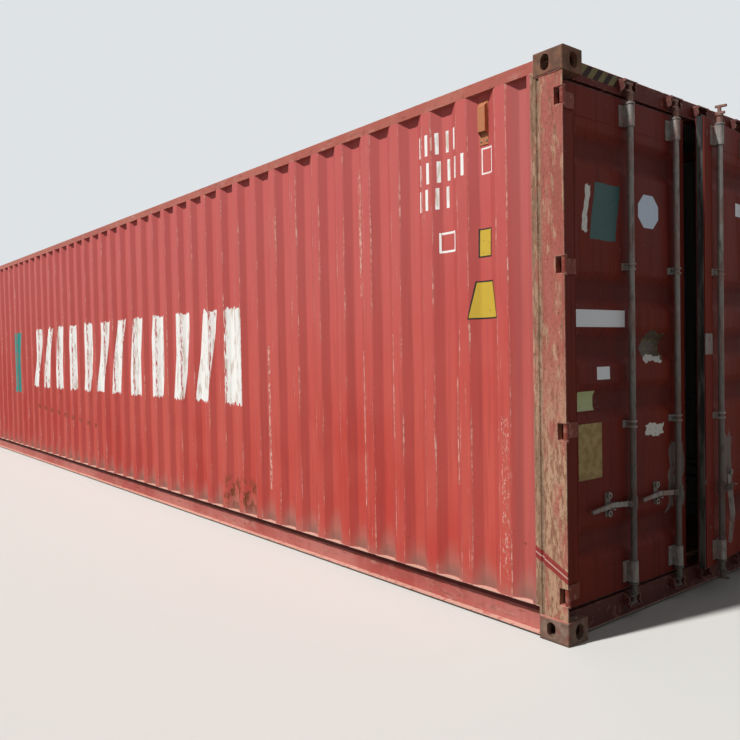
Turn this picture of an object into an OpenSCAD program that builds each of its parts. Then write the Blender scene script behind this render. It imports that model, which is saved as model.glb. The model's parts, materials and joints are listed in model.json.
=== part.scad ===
// A forty foot high cube freight container: corrugated steel walls and roof on a frame of
// posts and rails, eight cast corner fittings, and two hinged end doors with four lock rods.
// Frame: +X towards the doors, +Y to the right for a person who faces the doors, +Z up.
// The origin is on the ground under the middle of the container. Lengths are in millimetres.
// Parts of the left door are drawn closed and locked, and the right ones are their mirror.

/* [Overall] */
// Length over the corner castings
length = 12192; // [6058:1:13716]
// Width over the corner castings
width = 2438; // [2300:1:2600]
// Height over the corner castings
height = 2896; // [2438:1:2896]
// How far walls, posts and rails stand back from the faces of the castings
face_setback = 6; // [3:1:10]
// How far the roof and the top rails stay below the top of the castings
top_setback = 28; // [12:1:40]
// Height of the underside of the floor frame above the ground
base_clearance = 12; // [6:1:20]

/* [Corner castings] */
// Length of a casting along the container
casting_length = 178; // [170:1:190]
// Width of a casting across the container
casting_width = 162; // [155:1:170]
// Height of a casting
casting_height = 118; // [116:1:124]
// Thickness of the three walls with holes
casting_wall = 28; // [20:1:30]
// Thickness of the three inner walls
casting_back = 12; // [8:1:16]
// Radius of the outer edges of a casting
casting_round = 9; // [4:1:14]
// Length of the hole in the top or bottom face
deck_hole_length = 124.5; // [110:0.5:126]
// Width of the hole in the top or bottom face
deck_hole_width = 63.5; // [55:0.5:66]
// Height of the holes in the side and end faces
wall_hole_height = 79.5; // [70:0.5:82]
// Width of the hole in the side face
side_hole_width = 51; // [45:0.5:56]
// Width of the hole in the end face
end_hole_width = 63.5; // [55:0.5:66]
// Distance from the end face to the hole centres
hole_from_end = 103.5; // [98:0.5:106]
// Distance from the side face to the hole centres
hole_from_side = 89.5; // [86:0.5:92]

/* [Posts] */
// Thickness of the folded outer plate of a post
post_plate = 6; // [4:0.5:8]
// Length of the outer plate of a post along the container
post_reach = 198; // [190:1:215]
// Thickness of the inner channel of a door post
channel_plate = 12; // [8:1:14]
// Depth of the inner channel from its back to its front
channel_depth = 113; // [100:1:120]
// Inner face of the door post, from the side plane
post_depth = 49; // [46:1:52]
// Gap between the inner channel and the end plane
channel_from_end = 60; // [58:1:64]
// Depth of the upright groove in a post
groove_depth = 8; // [4:1:12]
// Width of the floor of the upright groove
groove_width = 10; // [6:1:16]
// Run of each side of the upright groove
groove_run = 6; // [4:1:8]
// Distance from the end plane to the upright groove
groove_from_end = 150; // [140:1:158]
// Depth of the return leg of a front post
front_post_return = 46; // [40:1:60]
// Bevel on the outer corner of a front post
front_post_bevel = 24; // [12:1:40]

/* [Rails] */
// Side of the square tubes of the top rails
top_rail = 60; // [50:1:70]
// Wall of the square tubes of the top rails
top_rail_wall = 3; // [3:0.5:5]
// Height of the top flange of the bottom rails above the ground
bottom_rail_top = 163; // [155:1:170]
// Width of the top flange of the bottom rails
bottom_rail_flange = 48; // [44:1:60]
// Width of the lower flange of the bottom rails
bottom_rail_lip = 38; // [30:1:44]
// Plate of the bottom rails
bottom_rail_plate = 4.5; // [3.5:0.5:6]
// Distance from the end plane to the face of the door header and sill
header_from_end = 56; // [54:1:60]
// Depth of the door header along the container
header_depth = 75; // [60:1:100]
// Height of the underside of the door header below the top
header_drop = 120; // [118:1:130]
// Wall of the door header and sill
header_wall = 4; // [3:0.5:6]
// Height of the top of the door sill above the ground
sill_top = 140; // [132:1:144]
// Depth of the door sill along the container
sill_depth = 110; // [90:1:130]
// Depth of the front sill along the container
front_sill_depth = 50; // [40:1:60]

/* [Side walls] */
// Distance between two corrugations of a side wall
side_pitch = 278; // [250:1:300]
// Width of the flat outer face of a corrugation
side_crest = 72; // [60:1:80]
// Run of each slanted face of a corrugation
side_slope = 68; // [60:1:72]
// Depth of the corrugations of a side wall
side_depth = 36; // [30:1:40]
// Thickness of the side wall sheet
side_sheet = 2; // [1.6:0.2:3]
// Width of the flat flange at each end of a side wall
side_flange = 26; // [20:1:50]
// Run of the steep fold beside that flange
side_step = 12; // [6:1:20]

/* [Front wall] */
// Distance between two corrugations of the front wall
front_pitch = 250; // [230:1:270]
// Width of the flat outer face of a front corrugation
front_crest = 110; // [90:1:120]
// Run of each slanted face of a front corrugation
front_slope = 18; // [12:1:24]
// Depth of the corrugations of the front wall
front_depth = 45; // [38:1:50]
// Thickness of the front wall sheet
front_sheet = 2; // [1.6:0.2:3]

/* [Roof] */
// Distance between two corrugations of the roof
roof_pitch = 209; // [180:1:230]
// Width of the flat top of a roof corrugation
roof_crest = 91; // [70:1:95]
// Run of each slanted face of a roof corrugation
roof_slope = 13.5; // [10:0.5:20]
// Depth of the corrugations of the roof
roof_depth = 20; // [14:1:24]
// Thickness of the roof sheet
roof_sheet = 2; // [1.6:0.2:3]
// Length of the plates that cover both ends of the roof
roof_plate_length = 300; // [240:1:400]
// Thickness of the plates that cover both ends of the roof
roof_plate = 4; // [3:0.5:6]

/* [Floor] */
// How far the underside of the floor lies below the top of the bottom rails
floor_sink = 19; // [10:1:28]
// Thickness of the plywood floor
floor_thickness = 28; // [21:1:32]
// Number of floor panels along the container
board_rows = 5; // [4:1:8]
// Joint between two floor panels
board_gap = 3; // [2:0.5:6]
// Height of the cross members under the floor
member_height = 122; // [100:1:126]
// Width of the flanges of a cross member
member_flange = 45; // [35:1:60]
// Plate of a cross member
member_plate = 4; // [3:0.5:5]
// Largest distance between two cross members
member_pitch = 400; // [280:10:500]
// Length of the tunnel for a trailer's neck
tunnel_length = 3315; // [3000:5:3600]
// Clear width of the tunnel
tunnel_width = 1029; // [1000:1:1070]
// Plate of the tunnel
tunnel_plate = 4; // [3:0.5:6]
// Width of the foot of each tunnel side
tunnel_foot = 32; // [24:1:50]

/* [Doors] */
// Distance from the face of the sill and header back to the face of a door
door_recess = 2; // [1:1:4]
// Depth of a door's frame
door_depth = 50; // [45:1:56]
// Width of the upright members of a door
stile_width = 100; // [80:1:110]
// Height of the top and bottom members of a door
door_rail = 150; // [110:1:170]
// Wall of the members of a door
door_wall = 3; // [2.5:0.5:5]
// Gap between a door and the post, for the seal
door_side_gap = 15; // [14:1:20]
// Gap between a door and the sill or header, for the seal
door_end_gap = 18; // [16:1:22]
// Gap between the two closed doors
door_middle_gap = 24; // [22:1:30]
// Thickness of the seal along the posts, the sill and the header
seal_thickness = 9; // [6:1:9]
// Thickness of the seal along the free edge
seal_middle = 5; // [3:1:6]
// Depth of the seal
seal_depth = 36; // [25:1:40]
// Thickness of the door sheet
door_sheet = 2; // [1.6:0.2:3]
// Depth of the ribs pressed into a door sheet
rib_depth = 36; // [25:1:40]
// Width of the floor of a rib
rib_floor = 58; // [40:1:70]
// Run of each slanted face of a rib
rib_slope = 66; // [50:1:72]
// Distance from the middle rib to the ribs next to it
rib_near = 285; // [240:1:320]
// Flat sheet between an end rib and the frame of the door
rib_end_gap = 55; // [30:1:120]
// Angle that the right door stands open at rest
ajar_angle = 5.5; // [0:0.5:10]

/* [Hinges] */
// Number of hinges of a door
hinge_count = 4; // [3:1:5]
// Distance from the bottom of a door to its lowest hinge
hinge_low = 80; // [70:1:200]
// Distance from the top of a door to its highest hinge
hinge_high = 97; // [70:1:200]
// Distance from the end plane to the hinge pins
pin_from_end = 17; // [16:1:20]
// Distance from the side plane to the hinge pins
pin_from_side = 22; // [21:1:24]
// Radius of a hinge pin
pin_radius = 8; // [6:0.5:8]
// Running clearance round a hinge pin or a lock rod
running_gap = 0.05; // [0.02:0.01:0.1]
// Outer radius of a hinge barrel
barrel_radius = 13.5; // [12:0.5:14]
// Height of a hinge blade
blade_height = 76; // [60:1:90]
// Thickness of a hinge blade on the door
blade_thickness = 10; // [8:1:12]
// Length of a hinge blade on the door
blade_length = 92; // [70:1:98]
// Thickness of the lugs above and below a blade
lug_thickness = 12; // [8:1:16]
// Gap between a blade and its lugs
lug_gap = 0.8; // [0.4:0.1:0.9]
// Height of a notch in the post beyond the blade, at each end
notch_margin = 5; // [3:1:8]
// Depth of a notch from the end plane
notch_depth = 56; // [50:1:58]

/* [Lock rods] */
// Radius of a lock rod
rod_radius = 17; // [14:0.5:18]
// Distance from the face of a door to the middle of a rod
rod_standoff = 33; // [32:0.5:34]
// Distance from the middle of the container to the inner rods
inner_rod = 150; // [130:1:200]
// Distance from the middle of the container to the outer rods
outer_rod = 610; // [560:1:660]
// How far a rod reaches past the edge of the sill or header
rod_overlap = 62; // [50:1:66]
// Height of a cam
cam_height = 62; // [54:1:66]
// Radius of the neck of a cam
neck_radius = 11; // [10:0.5:13]
// Radius of the foot of a cam
foot_radius = 22; // [19:0.5:25]
// Height of the foot of a cam
foot_height = 7; // [5:1:9]
// Height of the arms of a cam
arm_height = 12; // [9:1:14]
// Half of the width of the arms of a cam
arm_half = 9; // [7:0.5:10]
// Distance from the rod to the toe of the outer arm, which locks
toe_reach = 41; // [34:1:41]
// Distance from the rod to the toe of the inner arm
low_toe_reach = 31; // [27:1:34]
// Distance from the rod to the heel of an arm
heel_reach = 25; // [20:1:25]
// Gap between the two arms of a cam
arm_gap = 26; // [22:1:28]
// Radius of the collars on a rod
collar_radius = 26; // [22:0.5:27]
// Height of the collars on a rod
collar_height = 9; // [6:1:12]
// Gap between a collar and its bracket
collar_gap = 4; // [1:1:8]
// Height of the brackets near the rod ends
bracket_height = 112; // [90:1:120]
// Height of the guides between the brackets
guide_height = 38; // [30:1:60]
// Height of each of the two yokes of a guide
guide_yoke = 10; // [6:1:12]
// Half of the length of a guide across the door
guide_reach = 48; // [40:1:60]
// Distance from the edge of the door to the nearest bracket
bracket_inset = 36; // [32:1:60]
// Flat sheet between a guide and the rib next to it
guide_gap = 18; // [10:1:40]
// Half of the length of a bracket across the door
bracket_reach = 58; // [50:1:72]
// Thickness of the flanges of a bracket
bracket_plate = 6; // [4:0.5:8]
// Thickness of a bracket round its rod
bracket_wall = 6.5; // [5:0.5:7]
// Angle that the right door's rods are turned at rest
rod_turn = 80; // [0:5:90]

/* [Cam keepers] */
// Half of the length of a keeper
keeper_reach = 57; // [56:1:66]
// Height of a keeper
keeper_height = 66; // [60:1:72]
// Thickness of the feet of a keeper
keeper_back = 6; // [4:0.5:8]
// Length of the feet of a keeper, inside its ears
keeper_foot = 16; // [12:1:16]
// Thickness of the ears of a keeper
keeper_ear = 10; // [8:1:10]
// Radius of the bite that makes an ear a hook
keeper_bite = 11; // [8:1:14]
// How far the ears stand out
keeper_depth = 44; // [36:1:46]
// Thickness of the ledge of a keeper
keeper_ledge = 7; // [5:1:8]
// Gap between the end of a rod and the ledge
keeper_gap = 7; // [5:1:10]

/* [Handles] */
// Flat sheet between a catch and the rib below it
catch_gap = 18; // [4:1:40]
// Distance from the rod to the pivot of its handle
pivot_reach = 44; // [42:1:48]
// Distance from the rod to the tip of its handle
handle_reach = 370; // [300:1:370]
// Thickness of a handle
handle_thickness = 13; // [10:0.5:14]
// How far a handle rises from its pivot to its catch, before it bends down again
handle_rise = 14; // [0:1:16]
// Half of the height of a handle near its pivot
handle_half = 13; // [9:0.5:14]
// Half of the height of a handle near its tip
handle_tip = 9; // [7:0.5:10]
// Radius of the pivot pin of a handle
pivot_pin = 6; // [5:0.5:7]
// Radius of the hub that carries the handle
hub_radius = 22; // [20:0.5:23]
// Height of the hub that carries the handle
hub_height = 68; // [50:1:70]
// Thickness of the cheeks beside a handle
cheek_thickness = 5; // [4:0.5:6]
// How far the cheeks stand out round the pivot's eye
cheek_margin = 3; // [1:0.5:5]
// Gap between a handle and its cheeks
cheek_gap = 0.8; // [0.4:0.1:0.9]
// Distance from the rod to the catch
catch_reach = 193; // [170:1:210]
// Half of the length of the back of a catch
catch_half = 21; // [18:1:34]
// Height of the back of a catch
catch_height = 124; // [116:1:128]
// Thickness of the back of a catch
catch_back = 6; // [4:1:8]
// Outer radius of the rings of a catch
ring_radius = 17; // [14:1:20]
// Inner radius of the rings of a catch
ring_hole = 8; // [6:1:10]
// Distance from the handle to the middle of a ring
ring_offset = 47; // [42:1:50]
// Gap between a handle and the shelf under it
shelf_gap = 6; // [5:1:9]
// Angle that the right door's handles hang below level at rest
handle_drop = 90; // [0:2:90]

/* [Small fittings] */
// Height of a side vent
vent_height = 230; // [180:1:260]
// Width of a side vent
vent_width = 64; // [50:1:68]
// How far a side vent stands out
vent_depth = 24; // [14:1:30]
// Distance from the top rail to a side vent
vent_drop = 38; // [20:1:80]
// Thickness of the flange that a side vent is bolted on by
vent_flange = 3; // [2:0.5:5]
// Thickness of the sheet of a side vent's cover
vent_sheet = 3; // [2:0.5:4]
// How far the flange of a side vent stands past its cover at the sides and the top
vent_margin = 6; // [3:1:10]
// Height of the bare foot of a side vent's flange
vent_foot = 44; // [30:1:60]
// Height of the overlap plate on the right door
overlap_height = 120; // [80:1:160]
// Length of the overlap plate on the right door
overlap_length = 96; // [70:1:110]
// How far the overlap plate stands past the door's edge
overlap_nose = 10; // [6:1:10]
// Thickness of the overlap plate
overlap_plate = 6; // [4:1:8]

/* [Hidden] */

// Smoothness of round shapes
$fn = 48;
// Length by which a cutting tool passes a face
cut = 1;

// End plane and left side plane of the container
end_x = length / 2;
side_y = -width / 2;
// Faces of the walls, set back from the castings
wall_y = side_y + face_setback;
frame_top = height - top_setback;
rail_under = frame_top - top_rail;
// Space between the castings across and along the container
between_across = width - 2 * casting_width;
between_along = length - 2 * casting_length;
// Faces of the inner steel that the floor and roof reach
rail_web_y = wall_y + bottom_rail_flange;
floor_under = bottom_rail_top - floor_sink;
roof_half = width / 2 - face_setback - top_rail;
header_face = end_x - header_from_end;
header_under = height - header_drop;
sill_back = header_face - sill_depth;
post_inner_y = side_y + post_depth;
front_face = -end_x + face_setback;
// Ends of a side wall, and its number of corrugations between the flanges
wall_end = end_x - post_reach;
side_crests = crest_count(2 * (wall_end - side_flange - side_step), side_pitch, side_crest,
                          side_slope);

// Door leaf, drawn closed
door_face = header_face - door_recess;
door_back = door_face - door_depth;
door_hinge_y = post_inner_y + door_side_gap;
door_free_y = -door_middle_gap / 2;
door_width = door_free_y - door_hinge_y;
door_bottom = sill_top + door_end_gap;
door_top = header_under - door_end_gap;
door_height = door_top - door_bottom;
door_middle = (door_top + door_bottom) / 2;

// Hinge axis, and the heights of the hinges
pin_x = end_x - pin_from_end;
pin_y = side_y + pin_from_side;
hinge_pitch = (door_height - hinge_low - hinge_high) / (hinge_count - 1);
hinge_heights = [for (i = [0:hinge_count - 1]) door_bottom + hinge_low + i * hinge_pitch];
notch_height = blade_height + 2 * notch_margin;

// Lock rods
rod_x = door_face + rod_standoff;
rod_bottom = sill_top - rod_overlap;
rod_top = header_under + rod_overlap;
bracket_heights = [door_bottom + bracket_inset, door_top - bracket_inset - bracket_height];
collar_heights = [bracket_heights[0] - collar_height - collar_gap,
                  bracket_heights[1] + bracket_height + collar_gap];

// Ribs of a door, from its middle, and what sits on the flats between them
rib_half = rib_floor / 2 + rib_slope;
rib_far = door_height / 2 - door_rail - rib_end_gap - rib_half;
guide_offset = rib_near + rib_half + guide_gap + guide_height / 2;
guide_heights = [door_middle - guide_offset, door_middle + guide_offset];
handle_z = door_middle - rib_far + rib_half + catch_gap + catch_height / 2 - handle_rise;

// Unit vector to the left of the line from a to b
function left_of(a, b) = [a[1] - b[1], b[0] - a[0]] / norm(b - a);

// Corner i of a path, moved to its left by t so that the sheet keeps its thickness in the bends
function bent_corner(path, i, t) =
    let (last = len(path) - 1)
    let (before = i > 0 ? left_of(path[i - 1], path[i]) : left_of(path[0], path[1]))
    let (after = i < last ? left_of(path[i], path[i + 1]) : left_of(path[last - 1], path[last]))
    path[i] + t * (before + after) / (1 + before * after);

// A sheet of thickness t folded along a path, on the left of it
module folded_sheet(path, t)
    polygon(concat(path, [for (i = [len(path) - 1:-1:0]) bent_corner(path, i, t)]));

// Corrugations that fit in a span: out is the level of the crests, in that of the valleys
function crest_count(span, pitch, crest, slope) = 1 + floor((span - crest - 2 * slope) / pitch);
function corrugation(count, pitch, crest, slope, out, in) = [
    for (i = [0:count - 1])
        for (step = [[-crest / 2 - slope, in], [-crest / 2, out], [crest / 2, out],
                     [crest / 2 + slope, in]])
            [(i - (count - 1) / 2) * pitch + step[0], step[1]]
];

module rounded_rectangle(size, radius) {
    translate([radius, 0])
        square([size[0] - 2 * radius, size[1]]);
    translate([0, radius])
        square([size[0], size[1] - 2 * radius]);
    for (x = [radius, size[0] - radius])
        for (y = [radius, size[1] - radius])
            translate([x, y])
                circle(radius);
}

// An upright slot with round ends, centred
module upright_slot(wide, high) {
    square([wide, high - wide], center = true);
    for (side = [-1, 1])
        translate([0, side * (high - wide) / 2])
            circle(d = wide);
}

module along_x(span) rotate([90, 0, 90]) linear_extrude(span, center = true) children();
module along_y(span) rotate([90, 0, 0]) linear_extrude(span, center = true) children();
module other_side() mirror([0, 1, 0]) children();
module other_end() mirror([1, 0, 0]) children();
module upside_down() translate([0, 0, height]) mirror([0, 0, 1]) children();
module both_sides() {
    children();
    other_side() children();
}

// Corner casting at the door end, low on the left
module corner_casting() {
    hole_x = end_x - hole_from_end;
    hole_y = side_y + hole_from_side;
    color("indianred")
        difference() {
            translate([end_x - casting_length, side_y, 0])
                intersection() {
                    linear_extrude(casting_height)
                        rounded_rectangle([casting_length, casting_width], casting_round);
                    rotate([90, 0, 90])
                        linear_extrude(casting_length)
                            rounded_rectangle([casting_width, casting_height], casting_round);
                }
            translate([end_x - casting_length + casting_back, side_y + casting_wall,
                       casting_wall])
                cube([casting_length - casting_back - casting_wall,
                      casting_width - casting_back - casting_wall,
                      casting_height - casting_back - casting_wall]);
            translate([hole_x, hole_y, -cut])
                linear_extrude(casting_wall + 2 * cut)
                    intersection() {
                        circle(d = deck_hole_length);
                        square([deck_hole_length, deck_hole_width], center = true);
                    }
            translate([end_x - casting_wall / 2, hole_y, casting_height / 2])
                along_x(casting_wall + 2 * cut)
                    upright_slot(end_hole_width, wall_hole_height);
            translate([hole_x, side_y + casting_wall / 2, casting_height / 2])
                along_y(casting_wall + 2 * cut)
                    upright_slot(side_hole_width, wall_hole_height);
        }
}

// Part of a post beyond the casting, where the side wall ends
module post_wing() {
    translate([end_x - post_reach, wall_y, bottom_rail_top])
        cube([post_reach - casting_length, post_plate, rail_under - bottom_rail_top]);
}

// Door post: a folded outer plate with a groove, and a channel inside it
module door_post() {
    groove_in = end_x - groove_from_end;
    groove_out = groove_in - groove_width;
    outer = [[end_x - casting_length, wall_y], [groove_out - groove_run, wall_y],
             [groove_out, wall_y + groove_depth], [groove_in, wall_y + groove_depth],
             [groove_in + groove_run, wall_y], [end_x - face_setback, wall_y]];
    channel_front = end_x - channel_from_end;
    color("indianred")
        difference() {
            union() {
                translate([0, 0, casting_height])
                    linear_extrude(height - 2 * casting_height) {
                        folded_sheet(outer, post_plate);
                        difference() {
                            translate([channel_front - channel_depth, wall_y + post_plate])
                                square([channel_depth, post_inner_y - wall_y - post_plate]);
                            translate([channel_front - channel_depth + channel_plate, wall_y])
                                square([channel_depth - 2 * channel_plate,
                                        post_inner_y - channel_plate - wall_y]);
                        }
                    }
                post_wing();
            }
            for (z = hinge_heights)
                translate([end_x - notch_depth, side_y, z - notch_height / 2])
                    cube([notch_depth, face_setback + post_plate + cut, notch_height]);
        }
}

// Front post: one plate folded round the corner, with a return leg
module front_post() {
    corner_x = -end_x + face_setback;
    path = [[-end_x + front_post_return, side_y + casting_width],
            [corner_x, side_y + casting_width],
            [corner_x, wall_y + front_post_bevel],
            [corner_x + front_post_bevel, wall_y],
            [-end_x + casting_length, wall_y]];
    color("indianred") {
        translate([0, 0, casting_height])
            linear_extrude(height - 2 * casting_height)
                folded_sheet(path, post_plate);
        other_end() post_wing();
    }
}

module square_tube(side, wall) {
    difference() {
        square(side);
        translate([wall, wall])
            square(side - 2 * wall);
    }
}

module top_side_rail() {
    color("indianred")
        translate([0, wall_y, rail_under])
            along_x(between_along)
                square_tube(top_rail, top_rail_wall);
}

// Bottom rail: a channel with its web set back under the wall and a lip below
module bottom_side_rail() {
    web = wall_y + bottom_rail_flange;
    path = [[web - bottom_rail_lip, base_clearance], [web, base_clearance],
            [web, bottom_rail_top], [wall_y, bottom_rail_top]];
    color("salmon")
        along_x(between_along)
            folded_sheet(path, bottom_rail_plate);
}

module hollow_bar(depth, high, wall) {
    difference() {
        square([depth, high]);
        translate([wall, wall])
            square([depth - 2 * wall, high - 2 * wall]);
    }
}

module door_header() {
    color("firebrick")
        translate([header_face - header_depth, 0, header_under])
            along_y(between_across)
                hollow_bar(header_depth, frame_top - header_under, header_wall);
}

// Door sill, with a raised end over each casting
module door_sill() {
    color("firebrick") {
        translate([sill_back, 0, base_clearance])
            along_y(between_across)
                hollow_bar(sill_depth, sill_top - base_clearance, header_wall);
        both_sides()
            translate([sill_back, post_inner_y, casting_height])
                cube([sill_depth, -between_across / 2 - post_inner_y,
                      sill_top - casting_height]);
    }
}

module front_top_rail() {
    color("indianred")
        translate([front_face, 0, rail_under])
            along_y(between_across)
                square_tube(top_rail, top_rail_wall);
}

// Front sill: a channel open to the inside, cut out over the tunnel
module front_sill() {
    path = [[front_face, bottom_rail_top], [front_face, base_clearance]];
    back = front_face + front_sill_depth;
    color("indianred")
        difference() {
            along_y(between_across)
                folded_sheet(concat([[back, bottom_rail_top]], path, [[back, base_clearance]]),
                             bottom_rail_plate);
            translate([front_face - cut, -tunnel_width / 2, 0])
                cube([front_sill_depth + 2 * cut, tunnel_width, floor_under - tunnel_plate]);
        }
}

// Side wall: one corrugated sheet with a flat flange at each end
module side_wall() {
    inner = wall_y + side_depth;
    body = corrugation(side_crests, side_pitch, side_crest, side_slope, wall_y, inner);
    near = [[-wall_end, wall_y], [-wall_end + side_flange, wall_y],
            [-wall_end + side_flange + side_step, inner]];
    far = [for (i = [2:-1:0]) [-near[i][0], near[i][1]]];
    color("indianred")
        translate([0, 0, bottom_rail_top])
            linear_extrude(rail_under - bottom_rail_top)
                folded_sheet(concat(near, body, far), side_sheet);
}

// Front wall: a corrugated sheet between the front posts
module front_wall() {
    half = between_across / 2;
    deep = front_face + front_depth;
    count = crest_count(2 * half - 4 * front_slope, front_pitch, front_crest, front_slope);
    body = corrugation(count, front_pitch, front_crest, front_slope, front_face, deep);
    edge = [[-half, front_face], [-half + front_slope, front_face],
            [-half + 2 * front_slope, deep]];
    along = concat(edge, body, [for (i = [2:-1:0]) [-edge[i][0], edge[i][1]]]);
    path = [for (p = along) [p[1], -p[0]]];
    color("indianred")
        translate([0, 0, bottom_rail_top])
            linear_extrude(rail_under - bottom_rail_top)
                folded_sheet(path, front_sheet);
}

// Roof: a corrugated sheet between the top rails, and over each end a plate with a turned edge
module roof() {
    half = between_along / 2;
    valley_top = frame_top - roof_depth;
    count = crest_count(2 * half, roof_pitch, roof_crest, roof_slope);
    body = corrugation(count, roof_pitch, roof_crest, roof_slope, frame_top, valley_top);
    top = concat([[-half, valley_top]], body, [[half, valley_top]]);
    path = [for (i = [len(top) - 1:-1:0]) top[i]];
    color("brown") {
        along_y(2 * roof_half)
            folded_sheet(path, roof_sheet);
        for (turn = [0, 180])
            rotate([0, 0, turn])
                translate([header_face - roof_plate_length, 0, frame_top])
                    along_y(between_across)
                        polygon([[0, -roof_depth / 2], [roof_plate, -roof_depth / 2],
                                 [roof_plate, 0], [roof_plate_length, 0],
                                 [roof_plate_length, roof_plate], [0, roof_plate]]);
    }
}

// Floor: panels in two columns with an open joint between them
module floor_boards() {
    front = front_face + front_sill_depth;
    long = (sill_back - front - (board_rows - 1) * board_gap) / board_rows;
    color("peru")
        for (i = [0:board_rows - 1])
            for (y = [rail_web_y, board_gap / 2])
                translate([front + i * (long + board_gap), y, floor_under])
                    cube([long, -rail_web_y - board_gap / 2, floor_thickness]);
}

// Cross members: channels under the floor, split beside the tunnel
module cross_members() {
    front = front_face + front_sill_depth;
    tunnel_end = -end_x + tunnel_length;
    full = -rail_web_y;
    short = full - tunnel_width / 2 - tunnel_plate;
    bays = ceil((sill_back - tunnel_end) / member_pitch);
    short_bays = ceil((tunnel_end - front) / member_pitch);
    path = [[member_flange, 0], [0, 0], [0, -member_height], [member_flange, -member_height]];
    color("dimgray") {
        for (i = [0:bays - 1])
            translate([tunnel_end + i * (sill_back - tunnel_end) / bays, 0, floor_under])
                along_y(2 * full)
                    folded_sheet(path, member_plate);
        for (i = [1:short_bays - 1])
            both_sides()
                translate([front + i * (tunnel_end - front) / short_bays, -full + short / 2,
                           floor_under])
                    along_y(short)
                        folded_sheet(path, member_plate);
    }
}

// Tunnel: a hat shaped plate under the floor, open below and at the front
module gooseneck_tunnel() {
    half = tunnel_width / 2;
    front = front_face + front_sill_depth;
    tunnel_end = -end_x + tunnel_length;
    roof_level = floor_under - tunnel_plate;
    path = [[half + tunnel_foot, base_clearance], [half, base_clearance], [half, roof_level],
            [-half, roof_level], [-half, base_clearance], [-half - tunnel_foot, base_clearance]];
    reversed = [for (i = [len(path) - 1:-1:0]) path[i]];
    color("dimgray")
        translate([(front + tunnel_end) / 2, 0, 0])
            along_x(tunnel_end - front)
                folded_sheet(reversed, tunnel_plate);
}

// Side vent in a valley of a side wall: a flange, and a hollow cover with a sloping top, open below
module side_vent(x) {
    back = wall_y + side_depth;
    front = back - vent_depth;
    top = rail_under - vent_drop;
    crown = top - vent_margin;
    foot = top - vent_height + vent_foot;
    color("tan")
        translate([x, 0, 0]) {
            translate([-vent_width / 2, back - vent_flange, top - vent_height])
                cube([vent_width, vent_flange, vent_height]);
            difference() {
                along_x(vent_width - 2 * vent_margin)
                    polygon([[back, crown], [front, crown - vent_depth],
                             [front, foot + vent_depth], [back, foot]]);
                along_x(vent_width - 2 * vent_margin - 2 * vent_sheet)
                    polygon([[back - vent_flange, crown - 2 * vent_sheet],
                             [front + vent_sheet, crown - vent_depth - vent_sheet],
                             [front + vent_sheet, foot - vent_sheet],
                             [back - vent_flange, foot - vent_sheet]]);
            }
        }
}

module side_vents() {
    valley = (side_crests - 2) / 2 * side_pitch;
    side_vent(valley);
    other_side() side_vent(-valley);
}

// Hinge lugs: two plates and the pin between them, inside the post
module hinge_lug() {
    half = blade_height / 2 + lug_gap;
    plate_y = wall_y + post_plate;
    channel_front = end_x - channel_from_end;
    for (z = [-half - lug_thickness, half])
        translate([0, 0, z])
            linear_extrude(lug_thickness)
                intersection() {
                    union() {
                        translate([pin_x, pin_y])
                            circle(barrel_radius);
                        translate([channel_front, plate_y])
                            square([pin_x - channel_front,
                                    pin_y + barrel_radius - plate_y]);
                    }
                    translate([channel_front, plate_y])
                        square([channel_from_end, post_depth]);
                }
    translate([pin_x, pin_y, -half - lug_thickness])
        cylinder(r = pin_radius, h = 2 * (half + lug_thickness));
}

module hinge_lugs() {
    color("indianred")
        both_sides()
            for (z = hinge_heights)
                translate([0, 0, z])
                    hinge_lug();
}

// Ear of a keeper: a hook with a round lip below and a round nose above its bite
module keeper_ear_outline(low, high) {
    nose = high - 2 * keeper_ledge;
    difference() {
        union() {
            polygon([[0, low], [keeper_depth - keeper_bite, low + keeper_bite],
                     [keeper_depth, nose], [keeper_depth - keeper_ledge, high], [0, high]]);
            translate([keeper_depth - keeper_ledge, nose + keeper_ledge])
                circle(keeper_ledge);
        }
        translate([keeper_depth, nose - keeper_bite])
            circle(keeper_bite);
    }
}

// Keeper on the header for one cam: two hooked ears on feet, joined by a ledge over the rod
module cam_keeper() {
    ledge_z = rod_top + keeper_gap;
    high = ledge_z + keeper_ledge;
    low = high - keeper_height;
    for (side = [-1, 1]) {
        translate([header_face, side * (keeper_reach - keeper_ear / 2), 0])
            along_y(keeper_ear)
                keeper_ear_outline(low, high);
        translate([header_face, side * (keeper_reach - keeper_ear - keeper_foot / 2), 0])
            along_y(keeper_foot)
                translate([0, low])
                    square([keeper_back, keeper_height]);
    }
    translate([header_face, -keeper_reach, ledge_z])
        cube([keeper_depth - keeper_ledge, 2 * keeper_reach, keeper_ledge]);
}

module cam_keepers() {
    color("lightgray")
        both_sides()
            for (y = [-outer_rod, -inner_rod])
                translate([0, y, 0]) {
                    cam_keeper();
                    translate([0, 0, rod_top + rod_bottom])
                        mirror([0, 0, 1])
                            cam_keeper();
                }
}

// Frame of the left door: hollow members round the sheet
module door_frame() {
    inner_y = door_hinge_y + stile_width;
    color("firebrick")
        difference() {
            translate([door_back, door_hinge_y, door_bottom])
                cube([door_depth, door_width, door_height]);
            translate([door_back - cut, inner_y, door_bottom + door_rail])
                cube([door_depth + 2 * cut, door_width - 2 * stile_width,
                      door_height - 2 * door_rail]);
            for (y = [door_hinge_y, door_free_y - stile_width])
                translate([door_back + door_wall, y + door_wall, door_bottom + door_wall])
                    cube([door_depth - 2 * door_wall, stile_width - 2 * door_wall,
                          door_height - 2 * door_wall]);
            for (z = [door_bottom + door_wall, door_top - door_rail + door_wall])
                translate([door_back - cut, inner_y, z])
                    cube([door_depth - door_wall + cut, door_width - 2 * stile_width,
                          door_rail - 2 * door_wall]);
        }
}

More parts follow.
